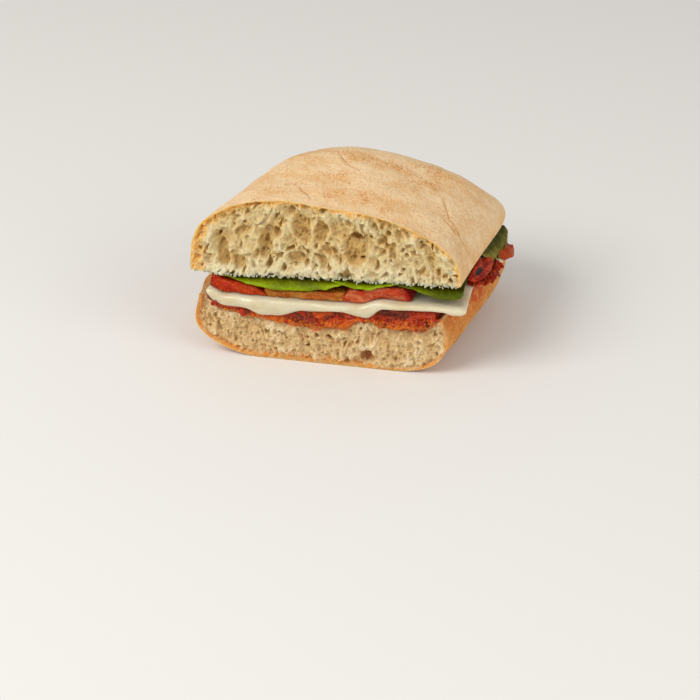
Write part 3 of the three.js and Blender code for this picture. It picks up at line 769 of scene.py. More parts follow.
torn_rim = smooth(23.4, 24.4, crust_z) * smooth(20, 30, crust_x)
crumb_rim = smooth(0.93, 0.98, rim_closeness(crumb_points[..., 0], crumb_points[..., 1]))
right_side = 0.35 * smooth(40, 48, crust_x) * smooth(2, 8, crust_z)
new_piece(
    "lower_bread",
    [
        grid_faces(
            crust_points[1:], 0, side=0.6 * smooth(10, 1, crust_z[1:]), smear=side_smear[1:],
            torn=torn_rim[1:], bake=0.4 + right_side[1:], off_crack=NO_CRACK,
        ),
        fan_faces(crust_points[1], crust_edge[0], 0, bake=0.8, off_crack=NO_CRACK),
        grid_faces(crumb_points[1:], 1, toasted=crumb_rim[1:]),
        fan_faces(crumb_points[1], crumb_edge[0] * [1, 0, 1] + face_points[-1] * [0, 1, 0], 1, toasted=0.5),
        grid_faces(face_points, 1, oil=oil, toasted=toasted, **fields),
    ],
    [base_crust, base_crumb], nodes=["bread_base"], sharp_angle=55,
)


# The tomato spread: chopped dried tomato in oil, pressed out along the cut between the lower crumb
# and the cheese. One lumpy body fills the room between them, and its oil soaks the crumb's edge.
# Chunks, skins and seeds are small lumps that stick to its face.
SPREAD_WIDTH = 0.89
SPREAD_DEPTH = 0.95
SPREAD_SHIFT = 2.4
SPREAD_FACE_ROWS = 40
SPREAD_ROWS = 60
SPREAD_SHARE = 4
SPREAD_PIECES = 84
# Places of its face painted in shade, where the cheese hangs over it, each as x, z, half width and half
# height.
SPREAD_SHADE = [
    (25, 24.4, 5.5, 2.2), (20, 19.8, 3, 1.7), (-33.5, 19, 5, 1.6), (-11.7, 18.8, 5, 1.4), (-44, 22.5, 5, 3),
]
SPREAD_DRIP = 0.75
CHEESE_UNDER = [(-47, 25.6), (-38, 22.6), (-8, 22.4), (4, 23.8), (14, 24), (21, 27), (42, 28), (54, 27.4)]
CHEESE_TOP = [(-47, 27.4), (-38, 26.1), (-24, 26.2), (12, 27), (22, 30), (54, 30.4)]
INNER_CHEESE_UNDER = 23
INNER_CHEESE_TOP = 28
CHEESE_OVER_RIM = 1.3
CHEESE_THINNEST = 2.6
CHEESE_FRONT = 0.6


def cheese_under(x, y):
    """The underside of the cheese, lifted over the rim of the lower bread."""
    sheet = layer_level(CHEESE_UNDER, INNER_CHEESE_UNDER, RIGHT_SIDE_LIFT, x, y)
    return mix(sheet, np.maximum(sheet, RIM_LEVEL + CHEESE_OVER_RIM), smooth(0.7, 0.93, rim_closeness(x, y)))


def cheese_top(x, y):
    """The top of the cheese, which sags softly and nowhere comes too close to the underside."""
    sheet = layer_level(CHEESE_TOP, INNER_CHEESE_TOP, RIGHT_SIDE_LIFT, x, y)
    return np.maximum(sheet + 0.3 * unevenness(x, y, 50, 9), cheese_under(x, y) + CHEESE_THINNEST)


def spread_place(u, along):
    """The plan of the lower bread, a little smaller, and how far a place is in from its edge."""
    p = half_loaf(BREAD_BASE, u, along)
    centre = p.middle + SPREAD_SHIFT
    return centre + (p.x - centre) * SPREAD_WIDTH, p.y * SPREAD_DEPTH, p.arch * p.fall


def spread_under(u, along):
    """The underside, which lies on the sliced crumb."""
    x, y, _ = spread_place(u, along)
    return np.stack([x, y, crumb_floor(x, y) + 0.1], axis=-1)


def spread_over(u, along):
    """The lumpy upper side, just below the cheese and down to the underside at the edge."""
    x, y, inner = spread_place(u, along)
    bottom = crumb_floor(x, y) + 0.1
    top = np.maximum(bottom + 0.5, cheese_under(x, y) - 0.2 - 0.4 * (1 + unevenness(x, y, 60, 1.7)))
    return np.stack([x, y, mix(bottom, top, np.minimum(1, 2.5 * inner))], axis=-1)


def chopped(x, z, rng, count):
    """Chopped pieces on the face: for each place the number from 0 to 1 of the piece that it is part
    of, and how far it is from that piece's border, from the distances to the two nearest middles."""
    places = np.stack([rng.uniform(x.min(), x.max(), count), rng.uniform(z.min(), z.max(), count)], axis=-1)
    away = np.hypot((x.ravel()[:, None] - places[None, :, 0]) / 1.7, z.ravel()[:, None] - places[None, :, 1])
    nearest = np.argpartition(away, 1, axis=1)[:, :2]
    first, second = np.sort(np.take_along_axis(away, nearest, 1), axis=1).T
    own = np.argmin(away, axis=1)
    return rng.random(count)[own].reshape(x.shape), (second - first).reshape(x.shape)


def spread_finish():
    """Chopped tomato in oil: each piece brick red, orange or a nearly black skin, orange oil between
    them and low down, wet all over, with painted shade where the cheese hangs over it."""
    material, tree, inputs = new_finish(
        "tomato_spread", Roughness=0.18, Specular_IOR_Level=0.35,
        Subsurface_Weight=0.25, Subsurface_Scale=0.001, Subsurface_Radius=(1.0, 0.35, 0.12),
    )
    kind = field_of(tree, "kind")
    lump = effect(tree, mottle, size=0.0026, detail=5.0, low=0.4, high=0.6)
    pulp = effect(tree, mottle, size=0.0008, detail=4.0, low=0.42, high=0.6)
    colour = blended(tree, lump, srgb(190, 46, 6), srgb(152, 24, 4))
    colour = blended(tree, spread_value(tree, kind, 0.34, 0.28, 0, 0.75), colour, srgb(212, 84, 8))
    colour = blended(tree, spread_value(tree, kind, 0.8, 0.86, 0, 0.85), colour, srgb(88, 22, 6))
    colour = blended(tree, product(tree, pulp, 0.35), colour, srgb(216, 92, 14))
    # painted shade: the dark places of the face, under the hanging cheese
    shadow = effect(tree, mottle, size=0.0017, detail=5.0, shift=(0.3, 0, 0), low=0.3, high=0.52)
    shadowed = product(tree, field_of(tree, "dark"), shadow)
    colour = blended(tree, product(tree, shadowed, 0.75), colour, srgb(76, 24, 8))
    edge = sum_of(tree, "ADD", field_of(tree, "low"), product(tree, pulp, 0.35))
    colour = blended(tree, spread_value(tree, edge, 0.75, 1.1, 0, 0.95), colour, srgb(220, 120, 16))
    tree.links.new(colour, inputs["Base Color"])
    normal = dent(tree, effect(tree, mottle, size=0.0009, detail=4.0, low=0.3, high=0.7), 0.8, 0.0005)
    tree.links.new(normal, inputs["Normal"])
    return material


spread_u = base_u[:, ::SPREAD_SHARE]
spread_along = depth_stops(BREAD_BASE, SPREAD_ROWS)
under_edge = spread_under(base_u, spread_along[:1])[0]
over_edge = spread_over(base_u, spread_along[:1])[0]
hang = SPREAD_DRIP * np.maximum(0, 0.4 + layered(under_edge[:, 0], 0, (1, 2.1, 70), (0.5, 0.8, 72)))
thick = over_edge[:, 2] - under_edge[:, 2]
under_edge = under_edge - np.stack([0 * hang, 0.35 + 0 * hang, hang * smooth(0.4, 2, thick)], axis=-1)
share = np.linspace(0, 1, SPREAD_FACE_ROWS + 1)[:, None]
spread_face = mix(under_edge[None], over_edge[None], share[..., None])
face_x, face_z = spread_face[..., 0].copy(), spread_face[..., 2].copy()
kind, seam = chopped(
    face_x + 0.5 * unevenness(face_x, 74, face_z, 1.2), face_z, np.random.default_rng(33), SPREAD_PIECES,
)
chunk = 1.2 * smooth(0, 1.6, seam) * (0.2 + 0.9 * np.abs(np.sin(37 * kind)))
chunk = chunk + layered(face_x, face_z, (0.55, 1.7, 80), (0.34, 0.8, 85), (0.16, 0.45, 86))
# dark is a mask of painted shade under the hanging cheese
dark = 0 * face_x
for x, z, wide, tall in SPREAD_SHADE:
    dark = np.maximum(dark, np.exp(-((face_x - x) / wide) ** 2 - ((face_z - z) / tall) ** 2))
body = np.sin(np.pi * np.clip(share, 0, 1)) ** 0.5 * smooth(0.2, 1.6, thick)
spread_face[..., 1] -= body * (0.2 + chunk)
spread_face[..., 2] += 0.25 * body * unevenness(face_x, 88, face_z, 1.1)
spread_material = spread_finish()
new_piece(
    "chopped_spread",
    [
        grid_faces(spread_over(spread_u, spread_along)[1:], kind=0.5),
        fan_faces(spread_over(spread_u, spread_along)[1], spread_face[-1], kind=0.5),
        grid_faces(spread_under(spread_u, spread_along)[1:], kind=0.5),
        fan_faces(spread_under(spread_u, spread_along)[1], spread_face[0], kind=0.5),
        grid_faces(spread_face, low=1 - share, kind=kind, dark=dark),
    ],
    [spread_material], nodes=["tomato_spread"],
)

BITS = {
    "tomato_chunks": dict(count=18, size=(1.4, 3), flat=0.4, colour=srgb(186, 40, 6), rough=0.24),
    "dark_skins": dict(count=12, size=(1.4, 2.8), flat=0.22, colour=srgb(104, 28, 8), rough=0.28),
    "seeds": dict(count=34, size=(0.5, 0.9), flat=0.45, colour=srgb(216, 136, 54), rough=0.3),
}
BIT_MARGIN = 20
BIT_ROW_MARGIN = 3
BIT_ROOM = 2.4
SHELL_ROWS = 8
SHELL_COLUMNS = 14


def ball_grid(rows, columns):
    """A ball of radius 1: rows from pole to pole, columns round it."""
    rise = np.linspace(-np.pi / 2, np.pi / 2, rows + 1)[:, None]
    turn = np.linspace(0, 2 * np.pi, columns + 1)[None, :]
    return np.stack([np.cos(rise) * np.cos(turn), np.cos(rise) * np.sin(turn), np.sin(rise) + 0 * turn], -1)


def pebbles(rng, places, size, flat):
    """Small uneven lumps: balls with three drawn radii, turned at random, as one grid for each place."""
    ball = ball_grid(SHELL_ROWS, SHELL_COLUMNS)
    parts = []
    for place in places:
        radii = rng.uniform(*size) / 2 * rng.uniform([1, 0.7, flat * 0.6], [1.4, 1.1, flat])
        turn, _ = np.linalg.qr(rng.normal(size=(3, 3)))
        lump = 1 + 0.3 * unevenness(*np.moveaxis(ball + place, -1, 0), 0.8)[..., None]
        parts.append(grid_faces(place + (ball * lump * radii) @ turn.T))
    return parts


rng = np.random.default_rng(31)
for kind, bit in BITS.items():
    column = rng.integers(BIT_MARGIN, FACE_COLUMNS - BIT_MARGIN, bit["count"])
    row = rng.integers(BIT_ROW_MARGIN, SPREAD_FACE_ROWS + 1 - BIT_ROW_MARGIN, bit["count"])
    spots = spread_face[row, column][thick[column] > BIT_ROOM] + [0, 0.3, 0]
    material, tree, inputs = new_finish(
        kind, Roughness=bit["rough"], Specular_IOR_Level=0.3, Subsurface_Weight=0.2, Subsurface_Scale=0.001,
    )
    tone = effect(tree, mottle, size=0.0009, detail=2.0, low=0.35, high=0.65)
    darker = tuple(0.6 * part for part in bit["colour"][:3]) + (1.0,)
    tree.links.new(blended(tree, tone, bit["colour"], darker), inputs["Base Color"])
    new_piece(kind, pebbles(rng, spots, bit["size"], bit["flat"]), [material])


# The mozzarella: one melted sheet over the spread. It is soft, so its front edge bulges over the cut
# and hangs down in two tongues, and its rims are round. Two sheets that meet round the rim.
CHEESE = dict(left=-47, right=53.4, depth=80, left_lean=0.22, right_lean=0.1)
CHEESE_SWELL = 2
CHEESE_WAIST = 3.4
CHEESE_HANG = [
    (-47, 24.2), (-44, 22), (-39, 21.3), (-32, 21.4), (-24.4, 19), (-19.5, 19.3), (-7.4, 22.6), (4.7, 23.9),
    (15.6, 21.8), (22.3, 26.6), (27, 28), (43, 28.2), (49.3, 26.4), (53.4, 25.8),
]
CHEESE_SQUEEZED = dict(y=45, reach=6.5, out=5.6)
CHEESE_BULGE = 3.1
LIP_ROWS = 22
SHEET_ROWS = 60
CHEESE_COLUMNS = 300


def closed_pair(upper, lower, slot=0, **fields):
    """Two grids of one body, whose borders are brought together."""
    middle = (upper + lower) / 2
    border = np.ones(upper.shape[:2], bool)
    border[1:-1, 1:-1] = False
    upper, lower = (np.where(border[..., None], middle, sheet) for sheet in (upper, lower))
    return [grid_faces(upper, slot, **fields), grid_faces(lower, slot, **fields)]


def cheese_sheets():
    """Both sides of the cheese: rows run from the tip of the lip over the bulge and back to the far
    rim. The bulge is half a superellipse, and the thickness falls to 0 on the rims like a circle."""
    side = -np.cos(np.pi * np.linspace(0, 1, CHEESE_COLUMNS + 1))[None, :]
    lip = np.linspace(-np.pi / 2, np.pi / 2, LIP_ROWS + 1)[:-1, None]
    along = np.linspace(0, 1, SHEET_ROWS + 1)[:, None] ** 0.95
    both = np.concatenate([0 * lip, along])
    y = mix(CHEESE_FRONT, CHEESE["depth"], both)
    left = CHEESE["left"] + CHEESE["left_lean"] * y - CHEESE_SWELL * np.sin(np.pi * both)
    waist = CHEESE_WAIST * np.sin(np.pi * np.minimum(1, both * 1.25))
    squeezed = np.exp(-((y - CHEESE_SQUEEZED["y"]) / CHEESE_SQUEEZED["reach"]) ** 2)
    right = CHEESE["right"] + CHEESE["right_lean"] * y - waist + CHEESE_SQUEEZED["out"] * squeezed
    x = (left + right) / 2 + (right - left) / 2 * side * (1 - both ** 7) ** (1 / 7)
    y = y + 0 * x
    thin = np.sqrt(np.maximum(0, (1 - np.abs(side) ** 16) * (1 - both ** 16)))
    middle = (cheese_top(x, y) + cheese_under(x, y)) / 2
    half = (cheese_top(x, y) - cheese_under(x, y)) / 2 * thin
    top, under = middle + half, middle - half
    rows = LIP_ROWS
    low = mix(middle[:rows], np.minimum(level_along(CHEESE_HANG, x[:rows]), under[:rows] - 0.1), thin[:rows])
    level, tall = (top[:rows] + low) / 2, (top[:rows] - low) / 2
    bulge = CHEESE_BULGE * (1 + 0.16 * unevenness(x[:rows], 90, level, 7)) * (0.35 + 0.65 * thin[:rows])
    upper, lower = np.stack([x, y, top], axis=-1), np.stack([x, y, under], axis=-1)
    upper[:rows, :, 1] = CHEESE_FRONT - bulge * np.cos(lip) ** 0.62
    upper[:rows, :, 2] = level + tall * signed_power(np.sin(lip), 0.85)
    inner = (lip + np.pi / 2) / np.pi
    lower[:rows, :, 1] = CHEESE_FRONT - 0.5 * np.sin(np.pi * inner)
    lower[:rows, :, 2] = mix(low, under[:rows], inner)
    return upper, lower


upper, lower = cheese_sheets()
front = smooth(3.5, -1.5, upper[..., 1])
soft = 0.32 * unevenness(upper[..., 0], upper[..., 1], upper[..., 2], 4.5)
upper[..., 1] -= front * soft
upper[..., 2] += (1 - front) * soft * smooth(2, 8, upper[..., 1])
cheese, tree, inputs = new_finish(
    "melted_mozzarella", Roughness=0.3, Specular_IOR_Level=0.4, Coat_Weight=0.35, Coat_Roughness=0.1,
    Subsurface_Weight=0.75, Subsurface_Scale=0.0035, Subsurface_Radius=(1.0, 0.72, 0.42),
)
cream = effect(tree, mottle, size=0.009, detail=2.0, stretch=(1, 1, 2.2), low=0.3, high=0.7)
curd = effect(tree, mottle, size=0.0022, detail=2.0, low=0.35, high=0.7)
colour = blended(tree, cream, srgb(213, 206, 180), srgb(204, 191, 156))
colour = blended(tree, product(tree, curd, 0.25), colour, srgb(222, 215, 190))
tree.links.new(colour, inputs["Base Color"])
tree.links.new(dent(tree, curd, 0.25, 0.00025), inputs["Normal"])
new_piece("melted_cheese", closed_pair(upper, lower), [cheese], nodes=["mozzarella"])


# The tomato: five wet slices with glossy red skin on their rims, laid on the cheese. The cut went
# through the three in front, so those show a flat face. Each is a profile carried round its outline.
TOMATO_SLICES = {
    "tomato_slice_left": dict(
        x=-35, y=10, wide=10.8, deep=22, thick=(6, 3.4), slant=(0.8, 3), rind=(0.7, 0), tone="red",
    ),
    "tomato_slice_middle": dict(
        x=-8.2, y=12.4, wide=16.6, deep=24, thick=(3.2, 4), slant=(-1.6, 0), rind=(0, 0), tone="pale",
    ),
    "tomato_slice_front": dict(
        x=19.2, y=11.6, wide=13, deep=25, thick=(5.4, 5), slant=(2.4, 1.6), rind=(0, 1), tone="pink",
    ),
    "tomato_slice_rear_left": dict(
        x=-11, y=57, wide=20, deep=18, thick=(4.6, 4.4), slant=(1, 1), rind=(1, 1), tone="red",
    ),
    "tomato_slice_rear_right": dict(
        x=31, y=58, wide=18, deep=18, thick=(4.4, 4.8), slant=(1, 1), rind=(1, 1), tone="red",
    ),
}
TOMATO_TONES = {
    "red": dict(flesh=srgb(176, 36, 2), pale=srgb(200, 82, 22), skin=srgb(150, 16, 2)),
    "pale": dict(flesh=srgb(168, 84, 10), pale=srgb(200, 146, 60), skin=srgb(172, 46, 8)),
    "pink": dict(flesh=srgb(186, 58, 20), pale=srgb(220, 136, 88), skin=srgb(158, 18, 2)),
}
TOMATO_CUT = 0.1
SLICE_POWER = 2.4
SLICE_RIM = 0.9
SLICE_GAP = 0.15
SLICE_COLUMNS = 280
SLICE_ROWS = 24


def tomato_slice(x, y, wide, deep, thick, slant, rind):
    """A slice: its outline is a superellipse, held back to the cut where it would reach past it, and
    its profile is flat with a narrow round rim. Its ends slant outwards to the bottom. The field is
    the skin, which shows on the left and the right end as much as rind says."""
    turn = np.linspace(0, 2 * np.pi, SLICE_COLUMNS + 1)
    dx = wide * signed_power(np.cos(turn), 2 / SLICE_POWER)
    dy = deep * signed_power(np.sin(turn), 2 / SLICE_POWER)
    even = even_stops(dx, np.maximum(dy, TOMATO_CUT - y), turn, SLICE_COLUMNS)[None, :]
    dx = wide * signed_power(np.cos(even), 2 / SLICE_POWER)
    dy = np.maximum(deep * signed_power(np.sin(even), 2 / SLICE_POWER), TOMATO_CUT - y)
    flat = np.linspace(0, 1, SLICE_ROWS, endpoint=False)
    lean = np.linspace(np.pi / 2, -np.pi / 2, SLICE_ROWS + 1)
    inner = 1 - SLICE_RIM / wide
    rim = inner + (1 - inner) * np.cos(lean) ** 0.8
    radius = np.concatenate([inner * flat, rim, inner * flat[::-1]])[:, None]
    rise = np.concatenate([1 + 0 * flat, signed_power(np.sin(lean), 0.8), 0 * flat - 1])[:, None]
    middle_y = (TOMATO_CUT + y + deep) / 2 if TOMATO_CUT > y - deep else y
    px = x + dx * radius
    py = middle_y + (y + dy - middle_y) * radius
    height = mix(thick[0], thick[1], np.clip((px - x) / wide / 2 + 0.5, 0, 1))
    bottom = cheese_top(px, np.maximum(py, CHEESE_FRONT)) + SLICE_GAP
    pz = bottom + height / 2 * (1 + rise)
    points = np.stack(np.broadcast_arrays(px, py, pz), axis=-1)
    from_middle = np.hypot(dx / wide, dy / deep) * radius
    side = (px - x) / wide
    points[..., 0] -= rise * np.where(side < 0, *slant) * signed_power(side, 3)
    edge = radius ** 6
    wet = 0.5 * unevenness(px, py, pz, 3) + 0.35 * unevenness(px, py, pz, 1.1)
    wet = wet + 0.16 * unevenness(px, py, pz, 0.5)
    points[..., 1] += np.where(py < y, 1, 0) * edge * wet
    points[..., 2] += 0.3 * rise * unevenness(px, py, 7, 2.4) * smooth(y, TOMATO_CUT, py)
    return points, smooth(0.9, 0.98, from_middle) * edge * np.where(side < 0, *rind) + 0 * pz


def tomato_finish(name, flesh, pale, skin):
    """Wet cut tomato: streaky flesh, pale spots of the cell walls, glossy red skin on the rim."""
    material, tree, inputs = new_finish(
        name, Roughness=0.15, Specular_IOR_Level=0.16,
        Subsurface_Weight=0.35, Subsurface_Scale=0.002, Subsurface_Radius=(1.0, 0.3, 0.1),
    )
    streak = effect(tree, mottle, size=0.003, detail=5.0, stretch=(0.6, 1, 1.5), low=0.38, high=0.62)
    spot = effect(tree, mottle, size=0.001, detail=3.0, stretch=(0.8, 1, 1.2), low=0.52, high=0.62)
    blush = effect(tree, mottle, size=0.008, detail=3.0, shift=(0.012, 0, 0), low=0.42, high=0.62)
    colour = blended(tree, product(tree, streak, 0.55), flesh, pale)
    colour = blended(tree, product(tree, blush, 0.5), colour, skin)
    colour = blended(tree, product(tree, spot, 0.6), colour, pale)
    colour = blended(tree, field_of(tree, "skin"), colour, skin)
    tree.links.new(colour, inputs["Base Color"])
    grain = effect(tree, mottle, size=0.0007, detail=3.0, low=0.3, high=0.7)
    normal = dent(tree, spot, 0.8, 0.0005)
    tree.links.new(dent(tree, grain, 0.6, 0.00025, normal), inputs["Normal"])
    return material


tomato_finishes = {
    tone: tomato_finish("tomato_" + tone, **colours) for tone, colours in TOMATO_TONES.items()
}
for name, slice_ in TOMATO_SLICES.items():
    size = {key: value for key, value in slice_.items() if key != "tone"}
    points, skin = tomato_slice(**size)
    new_piece(
        "sliced_" + name, [grid_faces(points, skin=skin)], [tomato_finishes[slice_["tone"]]],
        nodes=[name],
    )


# The leaves: soft salad leaves between the tomato and the upper bread, each one thin wavy sheet with
# a rib and side veins. Along the cut their edges hang down over the tomato, with painted light, brighter
# green, on the hanging edge in front and painted shade above it under the bread.
SLICE_LEVEL = 36.7
SLICE_SLOPE = 0.03
SLICE_DIP = dict(deep=1.1, x=-36, width=12)
LEAF_THICKNESS = 0.5
LEAF_COLUMNS = 220
LEAF_ROWS = 56
FRONT_LEAVES = {
    "leaf_front_left": dict(
        edge=[
            (-43, 35.4), (-39, 34.2), (-34, 32.6), (-28, 31.5), (-18, 30.6), (-8, 31), (-1, 32.2), (4, 33.8),
            (8.4, 35.6),
        ],
        inner=24, out=1.2, seed=1, tone="bright",
    ),
    "leaf_front_middle": dict(
        edge=[(2, 35.8), (6, 34.8), (11, 34), (15.7, 34), (20.4, 35.4), (24, 36.6), (27.4, 37.4)],
        inner=15, out=0.9, seed=2, tone="bright",
    ),
    "leaf_front_right": dict(
        edge=[
            (26, 37.2), (29, 36.8), (32.2, 36.2), (37.9, 34.6), (43.5, 33.4), (49, 33.2), (50.8, 33.9),
            (52, 35.2),
        ],
        inner=20, out=1.2, seed=3, tone="deep",
    ),
}
SIDE_LEAVES = {
    "leaf_side_rear": dict(
        start=(53.2, 34), end=(58.6, 60), inner=15, fold=7.5, fold_out=4.6, ripple=1.6, lift=0.8,
        tone="dark",
    ),
    "leaf_left": dict(
        start=(-33, 62), end=(-42, 30), inner=16, fold=6, fold_out=5, ripple=0.8, lift=0.5, tone="deep",
    ),
    "leaf_back": dict(
        start=(38, 76), end=(-2, 76), inner=16, fold=6, fold_out=5, ripple=0.9, lift=0.5, tone="deep",
    ),
}
# blade is painted shade, where the bread shades the leaf; edge is painted light on its hanging edge
LEAF_TONES = {
    "bright": dict(
        blade=srgb(84, 86, 0), shade=srgb(50, 52, 0), edge=srgb(144, 166, 0), rib=srgb(150, 158, 20),
    ),
    "deep": dict(
        blade=srgb(66, 68, 0), shade=srgb(38, 40, 0), edge=srgb(106, 120, 0), rib=srgb(120, 128, 16),
    ),
    "dark": dict(
        blade=srgb(74, 74, 2), shade=srgb(32, 34, 0), edge=srgb(140, 132, 48), rib=srgb(160, 150, 70),
    ),
}
RIB_PLACE = 0.62


def lid_underside(x, y):
    """Where the roll was sliced open: a level that slopes up to the right and dips once."""
    dip = SLICE_DIP["deep"] * np.exp(-((x - SLICE_DIP["x"]) / SLICE_DIP["width"]) ** 2)
    return SLICE_LEVEL + SLICE_SLOPE * x - dip * np.exp(-y / FRONT_REACH)


def filling_top(x, y):
    """The level of what a leaf lies on: the tomato slices where there are some, else the cheese."""
    sheet = cheese_top(x, np.maximum(y, CHEESE_FRONT))
    level = sheet + 1.2
    for slice_ in TOMATO_SLICES.values():
        across = (x - slice_["x"]) / slice_["wide"]
        away = np.hypot(across, (y - slice_["y"]) / slice_["deep"])
        thick = mix(*slice_["thick"], np.clip((across + 1) / 2, 0, 1))
        level = np.maximum(level, sheet + SLICE_GAP + thick * smooth(1.35, 1.1, away))
    return level


def vein_field(u, v):
    """Rib along the middle of the leaf and slanting side veins, 1 on a vein and 0 beside it."""
    rib = np.exp(-((v - RIB_PLACE) / 0.012) ** 2)
    slant = u * 9 - np.abs(v - RIB_PLACE) * 3.2 + 0.12 * np.sin(9 * v)
    near = np.abs(slant - np.round(slant))
    return np.maximum(rib, 0.8 * np.exp(-(near / 0.035) ** 2))


def leaf_body(middle, u, v):
    """Both faces of a leaf round its middle surface, with the veins raised a little."""
    normal = np.cross(np.gradient(middle, axis=1), np.gradient(middle, axis=0))
    normal /= np.maximum(1e-9, np.linalg.norm(normal, axis=-1, keepdims=True))
    veins = vein_field(u, v)
    half = LEAF_THICKNESS / 2 * (1 + 0.5 * veins)[..., None]
    # outer: painted light on the hanging edge, painted shade above it
    outer = smooth(0.3, 0.08, v) + 0 * u
    return closed_pair(middle + normal * half, middle - normal * half, veins=veins, outer=outer)


def front_leaf(edge, inner, out, seed):
    """A leaf along the cut: rows go from its hanging edge up to the underside of the bread, and from
    there inwards between the tomato and the bread."""
    u = np.linspace(0, 1, LEAF_COLUMNS + 1)[None, :]
    v = np.linspace(0, 1, LEAF_ROWS + 1)[:, None]
    left, right = edge[0][0], edge[-1][0]
    x = mix(left, right, u)
    taper = np.sin(np.pi * mix(0.04, 0.96, u)) ** 0.55
    hanging = smooth(0.42, 0, v)
    inside = np.maximum(0, (v - 0.3) / 0.7)
    y = 3 + inner * inside ** 1.2 * taper - (out + 3) * (1 - (1 - hanging) ** 1.5) * taper ** 0.5
    y = y + 0.45 * hanging * unevenness(x, 3 * v, seed, 6)
    room = lid_underside(x, np.maximum(y, 0)) - LEAF_THICKNESS / 2 - 0.2
    bed = np.maximum(filling_top(x, np.maximum(y, 0)) + LEAF_THICKNESS / 2 + 0.1, room - 2.2)
    level = np.minimum(room, mix(bed, room, 0.6))
    low = level_along(edge, x) + 0.2 * unevenness(x, 0, seed, 2.2)
    z = mix(level, np.minimum(low, room), np.minimum(1, (0.42 - np.minimum(v, 0.42)) / 0.42) ** 1.15)
    x = x + 0.6 * hanging * unevenness(x, 5 * v, seed + 9, 8)
    middle = np.stack(np.broadcast_arrays(x, y, z), axis=-1)
    return leaf_body(middle, u, v)


def side_leaf(start, end, inner, fold, fold_out, ripple, lift):
    """A leaf that looks out at a side: from start to end in plan, with its outer edge frilled and
    folded down past the bread."""
    u = np.linspace(0, 1, LEAF_COLUMNS + 1)[None, :]
    v = np.linspace(0, 1, LEAF_ROWS + 1)[:, None]
    start, end = np.array(start, float), np.array(end, float)
    length = end - start
    sideways = np.array([-length[1], length[0]]) / np.hypot(*length)
    half_width = np.sin(np.pi * mix(0.04, 0.96, u)) ** 0.7
    across = mix(-fold, inner, v) * half_width
    inside, outside = np.maximum(0, across), np.maximum(0, -across)
    reach = inside - fold_out * (1 - np.exp(-outside / fold_out))
    x = start[0] + length[0] * u + sideways[0] * reach
    y = start[1] + length[1] * u + sideways[1] * reach
    room = lid_underside(x, y) - LEAF_THICKNESS / 2 - 0.3
    bed = filling_top(x, y) + LEAF_THICKNESS / 2 + 0.1
    level = np.minimum(room, mix(bed, room, lift))
    frill = ripple * (np.sin(7 * np.pi * u) + 0.6 * np.sin(15 * np.pi * u + 2)) * outside / fold
    middle = np.stack(np.broadcast_arrays(x, y, level - 0.85 * outside + frill), axis=-1)
    return leaf_body(middle, u, v)


def leaf_finish(name, blade, shade, edge, rib):
    """A fresh leaf: waxy green, with painted light towards its hanging edge and painted shade above
    it, darker between its paler veins.
    """
    material, tree, inputs = new_finish(
        name, Roughness=0.4, Specular_IOR_Level=0.12,
        Subsurface_Weight=0.2, Subsurface_Scale=0.001, Subsurface_Radius=(0.6, 1.0, 0.1),
    )
    patch = effect(tree, mottle, size=0.005, detail=3.0, stretch=(0.6, 1, 1.4), low=0.35, high=0.65)
    cell = effect(tree, mottle, size=0.0009, detail=2.0, low=0.4, high=0.6)
    # painted light on the hanging edge over the blade's painted shade
    colour = blended(tree, field_of(tree, "outer"), blade, edge)
    colour = blended(tree, product(tree, patch, 0.5), colour, shade)
    colour = blended(tree, product(tree, cell, 0.22), colour, shade)
    colour = blended(tree, product(tree, field_of(tree, "veins"), 0.45), colour, rib)
    tree.links.new(colour, inputs["Base Color"])
    normal = dent(tree, cell, 0.4, 0.00012)
    tree.links.new(dent(tree, patch, 0.5, 0.0005, normal), inputs["Normal"])
    return material


leaf_finishes = {tone: leaf_finish("leaf_" + tone, **colours) for tone, colours in LEAF_TONES.items()}
for leaves, shape in ((FRONT_LEAVES, front_leaf), (SIDE_LEAVES, side_leaf)):
    for name, leaf in leaves.items():
        size = {key: value for key, value in leaf.items() if key != "tone"}
        new_piece(
            "salad_" + name, shape(**size), [leaf_finishes[leaf["tone"]]], nodes=[name],
        )


# Dried tomato: two oily, wrinkled and partly charred pieces that came out at the right side, between
# the bread and the leaf, with chopped bits scattered along the rim below them. Each piece is a
# flattened ball with folds pressed into it.
DRIED_TOMATOES = {
    "dried_tomato_side": dict(
        centre=(53.4, 27, 33.2), size=(8, 21, 2.4), turn=-0.22, droop=2, lumps=0.2,
    ),
    "dried_tomato_rear": dict(
        centre=(58.8, 51.4, 29.6), size=(10.6, 12, 5.6), turn=-0.1, droop=1, lumps=0.8,
    ),
}
CHAR_SPOT = dict(place=(1.6, -3), reach=(0.85, 3.6))
CHOPPED_BITS = dict(
    count=150, line=[(53, 20, 30), (55.8, 25, 29.4), (58, 31, 29), (59, 37, 29), (58.4, 42, 29.6)],
    scatter=(2.4, 2.4, 0.8), size=(0.8, 2.8), flat=0.5,
)
DRIED_ROWS = 80
DRIED_COLUMNS = 130


